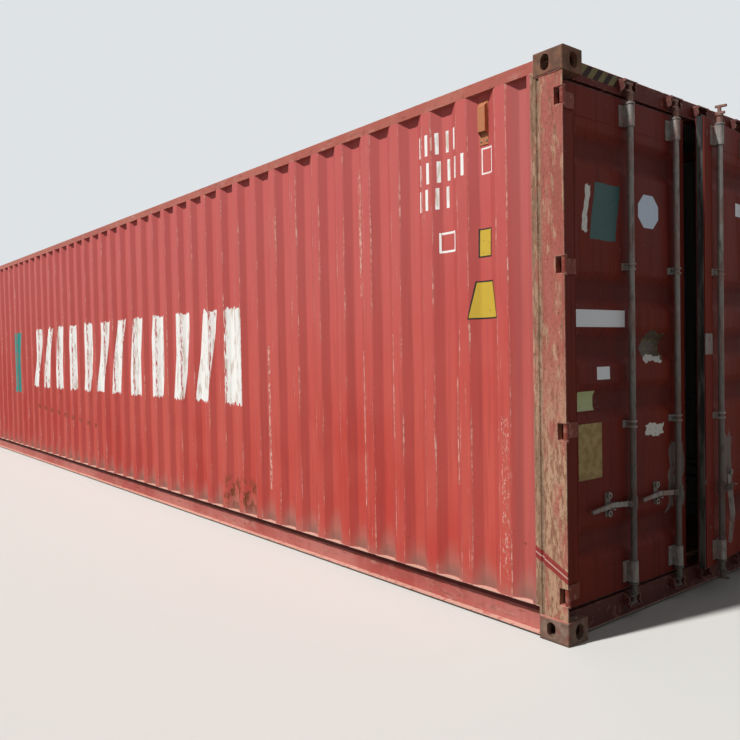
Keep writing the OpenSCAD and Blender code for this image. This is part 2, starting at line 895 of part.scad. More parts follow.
// Sheet of the left door, with level ribs pressed in
module door_panel() {
    levels = [-rib_far, -rib_near, 0, rib_near, rib_far];
    half = door_height / 2 - door_rail;
    ribs = [for (z = levels)
                for (step = [[-rib_half, 0], [-rib_floor / 2, -rib_depth],
                             [rib_floor / 2, -rib_depth], [rib_half, 0]])
                    [door_face + step[1], door_middle + z + step[0]]];
    path = concat([[door_face, door_middle - half]], ribs, [[door_face, door_middle + half]]);
    color("firebrick")
        translate([0, (door_hinge_y + door_free_y) / 2, 0])
            along_y(door_width - 2 * stile_width)
                folded_sheet(path, door_sheet);
}

// Rubber seal round the edge of the left door
module door_seal() {
    back = door_back + (door_depth - seal_depth) / 2;
    color("dimgray")
        difference() {
            translate([back, door_hinge_y - seal_thickness, door_bottom - seal_thickness])
                cube([seal_depth, door_width + seal_thickness + seal_middle,
                      door_height + 2 * seal_thickness]);
            translate([back - cut, door_hinge_y, door_bottom])
                cube([seal_depth + 2 * cut, door_width, door_height]);
        }
}

// Hinge blade: a barrel on the pin, and a cranked arm that lies on the door
module hinge_blade() {
    face = door_face - pin_x;
    edge = door_hinge_y - pin_y;
    linear_extrude(blade_height, center = true)
        difference() {
            union() {
                circle(barrel_radius);
                polygon([[-barrel_radius, 0], [face, edge], [face, edge + blade_length],
                         [face + blade_thickness, edge + blade_length],
                         [face + blade_thickness, edge + blade_thickness],
                         [0, barrel_radius]]);
            }
            circle(pin_radius + running_gap);
        }
}

module hinge_blades() {
    color("firebrick")
        for (z = hinge_heights)
            translate([pin_x, pin_y, z])
                hinge_blade();
}

// Foot of a bracket or guide, flat on the door
module rod_foot(reach, high)
    translate([-rod_standoff, -reach, 0])
        cube([bracket_plate, 2 * reach, high]);

// Yoke that holds a rod to the door, bored to run on it
module rod_yoke(high) {
    radius = rod_radius + bracket_wall;
    linear_extrude(high)
        difference() {
            union() {
                circle(radius);
                translate([-rod_standoff, -radius])
                    square([rod_standoff, 2 * radius]);
            }
            circle(rod_radius + running_gap);
        }
}

module rod_bracket() {
    rod_foot(bracket_reach, bracket_height);
    rod_yoke(bracket_height);
}

// Guide between the brackets: two yokes on one foot
module rod_guide() {
    rod_foot(guide_reach, guide_height);
    for (z = [0, guide_height - guide_yoke])
        translate([0, 0, z])
            rod_yoke(guide_yoke);
}

// Catch beside a rod: a back with a ring above and below the handle, and a shelf
module handle_catch() {
    depth = rod_standoff - handle_thickness / 2 - catch_back - shelf_gap;
    shelf_z = -handle_half - shelf_gap - catch_back;
    translate([0, -catch_half, -catch_height / 2])
        cube([catch_back, 2 * catch_half, catch_height]);
    for (side = [-1, 1])
        translate([catch_back + depth / 2, 0, side * ring_offset])
            along_x(depth)
                difference() {
                    circle(ring_radius);
                    circle(ring_hole);
                }
    translate([0, -catch_half / 2, shelf_z])
        cube([rod_standoff + handle_thickness, catch_half, catch_back]);
}

module rod_fittings(rods) {
    color("silver")
        for (y = rods) {
            for (z = bracket_heights)
                translate([rod_x, y, z])
                    rod_bracket();
            for (z = guide_heights)
                translate([rod_x, y, z - guide_height / 2])
                    rod_guide();
            translate([door_face, y - catch_reach, handle_z + handle_rise])
                handle_catch();
        }
}

// Plate on the free edge of the right door that laps over the left one
module overlap_plate() {
    color("firebrick")
        translate([door_face, door_free_y + overlap_nose - overlap_length,
                   door_middle - overlap_height / 2])
            cube([overlap_plate, overlap_length, overlap_height]);
}

// Arm of a cam: a bar with round ends, longer on the side that locks
module cam_arm(toe, heel)
    linear_extrude(arm_height) {
        translate([-arm_half, arm_half - toe])
            square([2 * arm_half, toe + heel - 2 * arm_half]);
        for (y = [arm_half - toe, heel - arm_half])
            translate([0, y])
                circle(arm_half);
    }

// Cam: a neck on a foot, with a cross arm at its tip and a shorter one below
module cam() {
    tip = cam_height - arm_height;
    cylinder(r = foot_radius, h = foot_height);
    cylinder(r = neck_radius, h = cam_height);
    translate([0, 0, tip])
        cam_arm(toe_reach, heel_reach);
    translate([0, 0, tip - arm_gap - arm_height])
        cam_arm(low_toe_reach, heel_reach);
}

// Cheeks beside the handle, drawn from the hub to the pivot
module handle_cheek() {
    half = handle_half + cheek_margin;
    translate([-pivot_reach / 2, 0])
        square([pivot_reach, 2 * half], center = true);
    translate([-pivot_reach, 0])
        circle(half);
}

// Lock rod: the bar, a cam at each end, collars, and the hub of its handle
module lock_rod(y, turn) {
    cheek_x = handle_thickness / 2 + cheek_gap + cheek_thickness / 2;
    pin_length = 2 * cheek_x + 3 * cheek_thickness;
    color("lightgray")
        translate([rod_x, y, 0])
            rotate([0, 0, turn]) {
                translate([0, 0, rod_bottom + cam_height])
                    cylinder(r = rod_radius, h = rod_top - rod_bottom - 2 * cam_height);
                translate([0, 0, rod_top - cam_height])
                    cam();
                translate([0, 0, rod_bottom + cam_height])
                    mirror([0, 0, 1])
                        cam();
                for (z = collar_heights)
                    translate([0, 0, z])
                        cylinder(r = collar_radius, h = collar_height);
                translate([0, 0, handle_z - hub_height / 2])
                    cylinder(r = hub_radius, h = hub_height);
                for (side = [-1, 1])
                    translate([side * cheek_x, 0, handle_z])
                        along_x(cheek_thickness)
                            handle_cheek();
                translate([-pin_length / 2, -pivot_reach, handle_z])
                    rotate([0, 90, 0])
                        cylinder(r = pivot_pin, h = pin_length);
            }
}

// Handle: a flat bar with an eye on the pivot, bent at its catch and tapering to a round tip
module door_handle(y, turn, drop) {
    bend = pivot_reach - catch_reach;
    tip = pivot_reach - handle_reach + handle_tip;
    color("lightgray")
        translate([rod_x, y, handle_z])
            rotate([0, 0, turn])
                translate([0, -pivot_reach, 0])
                    rotate([drop, 0, 0])
                        along_x(handle_thickness)
                            difference() {
                                union() {
                                    circle(handle_half);
                                    polygon([[0, -handle_half], [0, handle_half],
                                             [bend, handle_rise + handle_half],
                                             [tip, handle_tip], [tip, -handle_tip],
                                             [bend, handle_rise - handle_half]]);
                                    translate([tip, 0])
                                        circle(handle_tip);
                                }
                                circle(pivot_pin + running_gap);
                            }
}

// Right door parts: mirrored, then swung open about the right hinge axis
module right_door()
    translate([pin_x, -pin_y, 0])
        rotate([0, 0, ajar_angle])
            translate([-pin_x, pin_y, 0])
                other_side()
                    children();

corner_casting();  // casting_door_low_left
other_side() corner_casting();  // casting_door_low_right
upside_down() corner_casting();  // casting_door_top_left
other_side() upside_down() corner_casting();  // casting_door_top_right
other_end() corner_casting();  // casting_front_low_left
other_end() other_side() corner_casting();  // casting_front_low_right
other_end() upside_down() corner_casting();  // casting_front_top_left
other_end() other_side() upside_down() corner_casting();  // casting_front_top_right
door_post();  // door_post_left
other_side() door_post();  // door_post_right
both_sides() front_post();  // front_posts
both_sides() top_side_rail();  // top_side_rails
both_sides() bottom_side_rail();  // bottom_side_rails
door_header();
door_sill();
front_top_rail();
front_sill();
side_wall();  // side_wall_left
other_side() side_wall();  // side_wall_right
front_wall();
roof();
floor_boards();
cross_members();
gooseneck_tunnel();
side_vents();
hinge_lugs();
cam_keepers();
door_frame();  // door_frame_left
door_panel();  // door_panel_left
door_seal();  // door_seal_left
hinge_blades();  // hinge_blades_left
rod_fittings([-outer_rod, -inner_rod]);  // rod_brackets_left
right_door() door_frame();  // door_frame_right
right_door() door_panel();  // door_panel_right
right_door() door_seal();  // door_seal_right
right_door() hinge_blades();  // hinge_blades_right
right_door() {  // rod_brackets_right
        rod_fittings([-outer_rod, -inner_rod]);
        overlap_plate();
    }
lock_rod(-outer_rod, 0);  // lock_rod_1
lock_rod(-inner_rod, 0);  // lock_rod_2
right_door() lock_rod(-inner_rod, rod_turn);  // lock_rod_3
right_door() lock_rod(-outer_rod, rod_turn);  // lock_rod_4
door_handle(-outer_rod, 0, 0);  // handle_1
door_handle(-inner_rod, 0, 0);  // handle_2
right_door() door_handle(-inner_rod, rod_turn, handle_drop);  // handle_3
right_door() door_handle(-outer_rod, rod_turn, handle_drop);  // handle_4
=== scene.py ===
"""The looks of a forty foot steel freight container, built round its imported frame.

Every length is in metres in the container's own frame: X runs along it towards the doors, Y to
the right of a person who faces the doors, Z up, and the origin is on the ground under its middle.
"""
import json
import logging
import math
from dataclasses import dataclass
from enum import Enum
from functools import partial
from typing import Callable, ClassVar, Iterable, NamedTuple, Sequence

import bpy
import numpy as np
from mathutils import Matrix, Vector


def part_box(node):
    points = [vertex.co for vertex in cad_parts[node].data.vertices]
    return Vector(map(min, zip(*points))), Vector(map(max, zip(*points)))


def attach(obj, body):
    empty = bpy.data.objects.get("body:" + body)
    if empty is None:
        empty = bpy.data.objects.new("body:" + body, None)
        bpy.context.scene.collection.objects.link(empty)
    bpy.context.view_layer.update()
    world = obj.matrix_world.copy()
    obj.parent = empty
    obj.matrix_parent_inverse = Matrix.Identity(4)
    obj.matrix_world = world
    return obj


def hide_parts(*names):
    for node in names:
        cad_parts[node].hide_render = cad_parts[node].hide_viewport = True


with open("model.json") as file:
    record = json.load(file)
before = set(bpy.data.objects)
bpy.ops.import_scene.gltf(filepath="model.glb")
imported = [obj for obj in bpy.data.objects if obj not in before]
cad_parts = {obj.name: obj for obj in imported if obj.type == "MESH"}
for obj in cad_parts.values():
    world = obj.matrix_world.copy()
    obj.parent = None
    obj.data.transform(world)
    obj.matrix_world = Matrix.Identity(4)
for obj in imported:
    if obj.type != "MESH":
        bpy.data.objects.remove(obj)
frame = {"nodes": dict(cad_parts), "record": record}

LOG = logging.getLogger("container")
Socket = bpy.types.NodeSocket
Value = float | tuple | str | Socket
MM = 0.001
CREASE = math.radians(38)

# Places that the parts share with their paint
WALL_PITCH = 0.278
WALL_FOOT = 0.163
LAST_CREST = 5.699
POST_INNER = 5.918
HALF_INNER = 1.057
ROOF_TOP = 2.868
DOOR_FACE = 6.038


def linear(code: str) -> tuple[float, float, float, float]:
    """Turns an sRGB hex code into the linear colour that a shader reads.

    Args:
        code: six hex digits after a hash.

    Returns:
        Linear red, green and blue, and full alpha.
    """
    parts = [int(code[i:i + 2], 16) / 255 for i in (1, 3, 5)]
    return (*[c / 12.92 if c <= 0.04045 else ((c + 0.055) / 1.055) ** 2.4 for c in parts], 1.0)


# Forms: closed meshes worked out as arrays

@dataclass
class Form:
    """A closed mesh in the making.

    points is an (n, 3) array, faces holds (m, k) arrays of point numbers, and coats has the
    number of the finish for each of those arrays.
    """

    points: np.ndarray
    faces: list[np.ndarray]
    coats: list[int]

    @classmethod
    def loft(cls, rings: np.ndarray, endless: bool = False) -> "Form":
        """Skins a row of rings, and shuts it with a flat cap at each end or joins its ends.

        Quad (i, j) joins points j and j + 1 of ring i to those of ring i + 1, and the rings run
        anticlockwise round the way in which they follow each other.

        Args:
            rings: array of rings by points by 3.
            endless: whether the last ring goes on to the first, with no caps.

        Returns:
            The closed form.
        """
        count, size = rings.shape[:2]
        number = np.arange(count * size).reshape(count, size)
        chain = np.concatenate([number, number[:1]]) if endless else number
        after = np.roll(chain, -1, axis=1)
        quads = np.stack([chain[:-1], after[:-1], after[1:], chain[1:]], -1).reshape(-1, 4)
        faces = [quads] if endless else [quads, number[:1, ::-1], number[-1:]]
        return cls(rings.reshape(-1, 3), faces, [0] * len(faces))

    @classmethod
    def shell(cls, front: np.ndarray, back: np.ndarray, coats: Sequence[int] = (0, 0, 0)) -> "Form":
        """Closes the space between two grids of points with a rim.

        The front faces along the cross product of its first and its second direction.

        Args:
            front: array of columns by rows by 3.
            back: array of the same shape, behind the front.
            coats: finishes of the front, the back and the rim.

        Returns:
            The closed form.
        """
        columns, rows = front.shape[:2]
        total = columns * rows
        number = np.arange(total).reshape(columns, rows)
        corners = [number[:-1, :-1], number[1:, :-1], number[1:, 1:], number[:-1, 1:]]
        quads = np.stack(corners, -1).reshape(-1, 4)
        loop = np.concatenate([
            number[:-1, 0], number[-1, :-1], number[:0:-1, -1], number[0, :0:-1]])
        ahead = np.roll(loop, -1)
        rim = np.stack([loop, loop + total, ahead + total, ahead], -1)
        points = np.concatenate([front.reshape(-1, 3), back.reshape(-1, 3)])
        return cls(points, [quads, quads[:, ::-1] + total, rim], list(coats))

    def coated(self, coat: int) -> "Form":
        """The form with one finish all over."""
        return Form(self.points, self.faces, [coat] * len(self.faces))

    @classmethod
    def joined(cls, forms: Iterable["Form"]) -> "Form":
        """Puts several forms into one."""
        points, faces, coats, start = [], [], [], 0
        for form in forms:
            points.append(form.points)
            faces += [block + start for block in form.faces]
            coats += form.coats
            start += len(form.points)
        return cls(np.concatenate(points), faces, coats)

    def copies(self, offsets: np.ndarray) -> "Form":
        """Repeats the form at each offset of an (n, 3) array."""
        offsets = np.asarray(offsets, float)
        points = (self.points[None] + offsets[:, None]).reshape(-1, 3)
        starts = np.arange(len(offsets)) * len(self.points)
        faces = [(block[None] + starts[:, None, None]).reshape(-1, block.shape[1])
                 for block in self.faces]
        return Form(points, faces, self.coats)

    def mirrored(self, axis: int = 1) -> "Form":
        """Mirrors the form in the plane through the origin across an axis, faces still outward."""
        points = self.points.copy()
        points[:, axis] *= -1
        return Form(points, [block[:, ::-1] for block in self.faces], self.coats)

    def turned(self, centre: Sequence[float], angle: float) -> "Form":
        """Turns the form about the upright line through a centre by an angle in radians."""
        cos, sin = math.cos(angle), math.sin(angle)
        points = self.points.copy()
        x, y = points[:, 0] - centre[0], points[:, 1] - centre[1]
        points[:, 0] = centre[0] + x * cos - y * sin
        points[:, 1] = centre[1] + x * sin + y * cos
        return Form(points, self.faces, self.coats)


def basis(out: Sequence[float]) -> tuple[np.ndarray, np.ndarray, np.ndarray]:
    """Three unit vectors at right angles, right-handed, of which the last points along out."""
    out = np.asarray(out, float) / np.linalg.norm(out)
    helper = np.array([0.0, 0.0, 1.0]) if abs(out[2]) < 0.9 else np.array([1.0, 0.0, 0.0])
    first = np.cross(helper, out)
    first /= np.linalg.norm(first)
    return first, np.cross(out, first), out


def lathe(profile: Sequence[tuple[float, float]], centre: Sequence[float], out: Sequence[float],
          sides: int = 16) -> Form:
    """Turns a profile round an axis: point j of ring i lies at radius r_i and angle 2 pi j / sides.

    Args:
        profile: pairs of radius and height above the centre, from low to high.
        centre: foot of the axis.
        out: way of the axis.
        sides: points of each ring, 6 for a hexagon.

    Returns:
        The closed form.
    """
    first, second, out = basis(out)
    angle = np.arange(sides) * 2 * math.pi / sides
    ring = np.cos(angle)[:, None] * first + np.sin(angle)[:, None] * second
    radius, height = np.array(profile, float).T
    rings = radius[:, None, None] * ring[None] + height[:, None, None] * out
    return Form.loft(rings + np.asarray(centre, float))


def bolt(centre: Sequence[float], out: Sequence[float], size: float = 8 * MM) -> Form:
    """A hexagon bolt head on a washer, standing out from a face."""
    washer = [(1.15 * size, -0.1 * size), (1.15 * size, 0.2 * size), (1.05 * size, 0.25 * size)]
    head = [(size, 0.2 * size), (size, 0.78 * size), (0.86 * size, 0.9 * size)]
    return Form.joined([lathe(washer, centre, out), lathe(head, centre, out, sides=6)])


def rivet(centre: Sequence[float], out: Sequence[float], size: float = 4 * MM) -> Form:
    """A low round rivet head."""
    return lathe([(size, -0.2 * size), (size, 0.1 * size), (0.8 * size, 0.42 * size),
                  (0.4 * size, 0.6 * size), (0.05 * size, 0.66 * size)], centre, out, sides=12)


def slab(low: Sequence[float], high: Sequence[float], chamfer: float = 1 * MM) -> Form:
    """A block with chamfered edges, as four rectangular rings with cut corners."""
    low, high = np.asarray(low, float), np.asarray(high, float)
    rings = []
    for z, inset in ((low[2], chamfer), (low[2] + chamfer, 0), (high[2] - chamfer, 0),
                     (high[2], chamfer)):
        x0, y0, x1, y1 = low[0] + inset, low[1] + inset, high[0] - inset, high[1] - inset
        c = chamfer
        ring = [(x0 + c, y0), (x1 - c, y0), (x1, y0 + c), (x1, y1 - c),
                (x1 - c, y1), (x0 + c, y1), (x0, y1 - c), (x0, y0 + c)]
        rings.append([(x, y, z) for x, y in ring])
    return Form.loft(np.array(rings))


def weld(path: Sequence[Sequence[float]], out: Sequence[float], width: float = 9 * MM,
         step: float = 7 * MM) -> Form:
    """A weld bead along a path.

    Its cross-section is half an ellipse that stands out from the seam, and its size swells as
    1 + 0.16 sin(pi s / step) with a slow drift, so that it shows the ripples of a hand weld.

    Args:
        path: points of the seam.
        out: way that the bead stands out.
        width: width of the bead.
        step: distance between two ripples.

    Returns:
        The closed form.
    """
    path = np.asarray(path, float)
    reach = np.concatenate([[0], np.cumsum(np.linalg.norm(np.diff(path, axis=0), axis=1))])
    place = np.linspace(0, reach[-1], max(4, int(2 * reach[-1] / step)))
    line = np.stack([np.interp(place, reach, path[:, i]) for i in range(3)], -1)
    along = np.gradient(line, axis=0)
    out = np.asarray(out, float) / np.linalg.norm(out)
    side = np.cross(out, along)
    side /= np.linalg.norm(side, axis=-1, keepdims=True)
    swell = 1 + 0.16 * np.sin(place / step * math.pi) + 0.12 * np.sin(place * 9.1 + path.sum() * 7)
    swell[[0, -1]] *= 0.4
    angle = np.linspace(0, math.pi, 5)
    across = 0.5 * width * swell[:, None] * np.cos(angle)
    up = 0.36 * width * swell[:, None] * np.sin(angle) - 0.06 * width
    return Form.loft(line[:, None] + across[..., None] * side[:, None] + up[..., None] * out)


def thickened(front: np.ndarray, thickness: float) -> np.ndarray:
    """The back of a sheet: each point of the front moved against its normal by the thickness."""
    normal = np.cross(np.gradient(front, axis=0), np.gradient(front, axis=1))
    return front - thickness * normal / np.linalg.norm(normal, axis=-1, keepdims=True)


def rounded(shape: Callable[[np.ndarray], np.ndarray], place: np.ndarray,
            bend: float) -> np.ndarray:
    """Rounds the folds of a shape: the mean of the sharp shape over the stretch within the bend."""
    return np.mean([shape(place + shift) for shift in np.linspace(-bend, bend, 9)], axis=0)


def film(low: Sequence[float], high: Sequence[float], surface: Callable, cut: float = 0.0,
         slant: float = 0.0, taper: float = 0.0, torn: float = 0.0,
         lift: float = 0.5 * MM) -> Form:
    """A thin film laid on a wall: a grid of places (across, up) carried onto the wall's surface.

    Place (u, v) lies at across = left(v) + u (right(v) - left(v)) and at up = low + v height.
    The edges move in at a cut corner, slant with v, and wander as sums of sines where torn.

    Args:
        low: its lower corner, across and up.
        high: its upper corner.
        surface: takes across, up and a lift, and gives the points of the wall, lifted outwards.
        cut: leg of the cut corners.
        slant: how far its top is shifted across.
        taper: how far each side moves in at the top.
        torn: how far its edges wander.
        lift: how far its face stands off the wall.

    Returns:
        The closed form.
    """
    u, v = np.meshgrid(np.linspace(0, 1, 25), np.linspace(0, 1, 33), indexing="ij")
    height = high[1] - low[1]
    inset = np.clip(cut - np.minimum(v, 1 - v) * height, 0, None) + taper * v
    ragged = [torn * (0.5 + 0.35 * np.sin(k * 11.3 + 7 * t) + 0.15 * np.sin(k * 5.1 + 23 * t))
              for k, t in ((1 + low[1], v), (2 + low[0], v), (3 + low[1], u), (4 + low[0], u))]
    left = low[0] + inset + slant * v + ragged[0]
    right = high[0] - inset + slant * v - ragged[1]
    up = low[1] + v * height + ragged[2] * (1 - v) - ragged[3] * v
    across = left + u * (right - left)
    return Form.shell(surface(across, up, lift), surface(across, up, -0.3 * MM))


def eased(share: np.ndarray) -> np.ndarray:
    """Eases a share from 0 to 1 at both ends: s squared times (3 - 2 s)."""
    return share ** 2 * (3 - 2 * share)


def make_object(name: str, form: Form,
                materials: Sequence[bpy.types.Material]) -> bpy.types.Object:
    """Makes a form into a Blender object, with a material for each of its coats."""
    mesh = bpy.data.meshes.new(name)
    mesh.from_pydata(form.points.tolist(), [], [f for block in form.faces for f in block.tolist()])
    for material in materials:
        mesh.materials.append(material)
    thing = bpy.data.objects.new(name, mesh)
    bpy.context.scene.collection.objects.link(thing)
    return thing


def make_piece(name: str, form: Form, finishes: Sequence["Finish"], body: str,
               replaces: Sequence[str] = ()) -> bpy.types.Object:
    """Makes a form into a smooth piece that rides on a body, with sharp edges at its creases.

    Args:
        name: name of the object.
        form: its mesh.
        finishes: its finishes, in the order of the form's coats.
        body: the body that it moves with.
        replaces: nodes that it stands for.

    Returns:
        The object.
    """
    piece = make_object(name, form, [finish.material() for finish in finishes])
    coats = np.repeat(form.coats, [len(block) for block in form.faces])
    piece.data.polygons.foreach_set("material_index", coats.astype(np.int32))
    piece.data.polygons.foreach_set("use_smooth", np.ones(len(coats), bool))
    piece.data.set_sharp_from_angle(angle=CREASE)
    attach(piece, body)
    if replaces:
        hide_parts(*replaces)
    LOG.info("%s: %d faces, on %s", name, len(coats), body)
    return piece


# Finishes: procedural materials

class Coat(NamedTuple):
    """One layer of a finish: hex or mixed colour, roughness, metallic and height in metres.

    A metallic or a height of None is that of the coat below.
    """

    colour: Value
    rough: Value
    metal: Value | None = None
    lift: Value | None = None


class Join(Enum):
    """How masks are put together."""

    ALL = "MULTIPLY"
    ANY = "MAXIMUM"
    BUT = "SUBTRACT"


def add_node(tree: bpy.types.NodeTree, kind: str, inputs: dict | None = None,
             out: int | str = 0, **settings) -> Socket | None:
    """Adds a node to a tree.

    Args:
        tree: the tree of a material or of the world.
        kind: the node's type.
        inputs: a value, a hex colour or an output socket for each input, by number or name.
        out: number or name of the output to return.
        **settings: the node's other properties.

    Returns:
        The chosen output socket, or None if the node has no outputs.
    """
    node = tree.nodes.new(kind)
    for name, value in settings.items():
        setattr(node, name, value)
    for key, value in (inputs or {}).items():
        if isinstance(value, Socket):
            tree.links.new(value, node.inputs[key])
        else:
            node.inputs[key].default_value = linear(value) if isinstance(value, str) else value
    return node.outputs[out] if node.outputs else None


class Brush:
    """Draws one material: add() puts a node in its tree, and the rest lay patterns with it."""

    def __init__(self, name: str) -> None:
        """Starts an empty material with the place on the object in x, y and z."""
        self.material = bpy.data.materials.new(name)
        self.material.use_nodes = True
        self.material.node_tree.nodes.clear()
        self.add = partial(add_node, self.material.node_tree)
        self.place = self.add("ShaderNodeTexCoord", out="Object")
        self.x, self.y, self.z = self.add("ShaderNodeSeparateXYZ", {0: self.place}).node.outputs

    def band(self, value: Socket, low: float | None, high: float | None, soft: float) -> Socket:
        """A mask of the places where a value lies above low and below high, with soft ends.

        Args:
            value: what is measured.
            low: lower limit, or None.
            high: upper limit, or None.
            soft: half of the width over which the mask fades at a limit.

        Returns:
            The mask.
        """
        ends = [(limit - way * soft, limit + way * soft)
                for limit, way in ((low, 1), (high, -1)) if limit is not None]
        return self.join(Join.ALL, *[
            self.add("ShaderNodeMapRange", {0: value, 1: start, 2: end},
                     interpolation_type="SMOOTHSTEP") for start, end in ends])

    def join(self, how: Join, *masks: Value) -> Socket:
        """Puts masks together: all of them, any of them, or the first but not the next."""
        total = masks[0]
        for mask in masks[1:]:
            total = self.add("ShaderNodeMath", {0: total, 1: mask}, operation=how.value,
                             use_clamp=True)
        return total

    def along(self, way: Sequence[float], start: float) -> Socket:
        """Distance along a way: the place dotted with it, less the start."""
        reach = self.add("ShaderNodeVectorMath", {0: self.place, 1: tuple(way)}, "Value",
                         operation="DOT_PRODUCT")
        return self.add("ShaderNodeMath", {0: reach, 1: start}, operation="SUBTRACT")

    def cloud(self, size: float, stretch: Sequence[float] = (1, 1, 1), seed: float = 0.0,
              detail: float = 3.0) -> Socket:
        """Cloudy noise from 0 to 1, about 0.5 on average.

        Args:
            size: width of its lumps in metres.
            stretch: how much longer the lumps are along each axis.
            seed: moves the pattern.
            detail: number of finer layers.

        Returns:
            The noise.
        """
        place = self.add("ShaderNodeMapping", {
            "Vector": self.place, "Scale": tuple(1 / (size * s) for s in stretch),
            "Location": (seed * 7.3, seed * 3.1, seed * 5.7)})
        return self.add("ShaderNodeTexNoise", {"Vector": place, "Scale": 1.0, "Detail": detail,
                                               "Roughness": 0.55})

    def patches(self, size: float, level: float, soft: float = 0.04,
                stretch: Sequence[float] = (1, 1, 1), seed: float = 0.0,
                detail: float = 3.0) -> Socket:
        """A mask of the places where cloudy noise passes a level."""
        return self.band(self.cloud(size, stretch, seed, detail), level, None, soft)

    def relief(self, size: float, height: float, stretch: Sequence[float] = (1, 1, 1),
               seed: float = 0.0, detail: float = 2.0) -> Socket:
        """Cloudy bumps of a height in metres."""
        return self.add("ShaderNodeMath", {0: self.cloud(size, stretch, seed, detail), 1: height},
                        operation="MULTIPLY")

    def over(self, coat: Coat, *layers: tuple) -> Coat:
        """Lays coats over one another, and mixes only what differs.

        Args:
            coat: the lowest coat.
            layers: for each next coat, the coat and the masks that all have to show it.

        Returns:
            The coat that comes out on top.
        """
        for above, *masks in layers:
            mask, mixed = self.join(Join.ALL, *masks), []
            for name, low, high in zip(Coat._fields, coat, above):
                if high is not None and low is not high:
                    first, out, kind = (6, 2, "RGBA") if name == "colour" else (2, 0, "FLOAT")
                    inputs = {0: mask, first: low or 0.0, first + 1: high}
                    low = self.add("ShaderNodeMix", inputs, out, data_type=kind)
                mixed.append(low)
            coat = Coat(*mixed)
        return coat

    def edges(self, radius: float) -> Socket:
        """A mask of the edges: where the normal, rounded over a radius, leaves the true one."""
        round_normal = self.add("ShaderNodeBevel", {"Radius": radius}, samples=2)
        true_normal = self.add("ShaderNodeNewGeometry", out="True Normal")
        same = self.add("ShaderNodeVectorMath", {0: round_normal, 1: true_normal}, "Value",
                        operation="DOT_PRODUCT")
        return self.band(same, None, 0.9, 0.09)

    def finish(self, coat: Coat, shine: float, rounding: float) -> bpy.types.Material:
        """Ends the material with its shader.

        Args:
            coat: what the light meets.
            shine: specular level, 0.5 for a clean surface and less for a dusty one.
            rounding: radius in metres over which edges catch the light, or 0.

        Returns:
            The material.
        """
        bump = {"Height": coat.lift or 0.0, "Distance": 1.0, "Strength": 1.0}
        if rounding:
            bump["Normal"] = self.add("ShaderNodeBevel", {"Radius": rounding}, samples=2)
        shader = self.add("ShaderNodeBsdfPrincipled", {
            "Base Color": coat.colour, "Roughness": coat.rough, "Metallic": coat.metal or 0.0,
            "Specular IOR Level": shine, "Normal": self.add("ShaderNodeBump", bump)})
        self.add("ShaderNodeOutputMaterial", {"Surface": shader})
        return self.material


class Finish:
    """A finish of one kind of surface; each is made into a material once."""

    made: ClassVar[dict["Finish", bpy.types.Material]] = {}
    shine = 0.3
    rounding = 0.0

    def draw(self, brush: Brush) -> Coat:
        """Works out the coat that the light meets."""
        raise NotImplementedError

    def material(self) -> bpy.types.Material:
        """The finish as a Blender material."""
        if self not in Finish.made:
            brush = Brush(type(self).__name__)
            Finish.made[self] = brush.finish(self.draw(brush), self.shine, self.rounding)
        return Finish.made[self]

    def rust(self, brush: Brush) -> Coat:
        """Rust of weathering steel: brown with orange bloom 9 mm wide, matt and rough."""
        return brush.over(Coat("#4E2C1C", 0.92), (
            Coat("#8A4C28", 0.95), brush.patches(9 * MM, 0.5, 0.1, seed=4)))

    def sprayed(self, brush: Brush, colour: str, faded: str, dirt: str) -> Coat:
        """Sprayed topcoat: it fades in wide clouds, chalks in blotches and carries rain streaks.

        The orange peel of the spray is about 4 mm wide and gives the gloss a soft grain.
        """
        chalk = Coat(faded, 0.68)
        return brush.over(
            Coat(colour, 0.5, lift=brush.relief(4 * MM, 0.12 * MM, seed=5, detail=1.0)),
            (chalk, brush.patches(1.1, 0.5, 0.14, (1, 1, 1.5), seed=1), 0.75),
            (chalk, brush.patches(0.14, 0.55, 0.12, (1, 1, 2), seed=2), 0.35),
            (Coat(dirt, 0.75), brush.patches(0.03, 0.6, 0.12, (1, 1, 22), seed=3), 0.35))


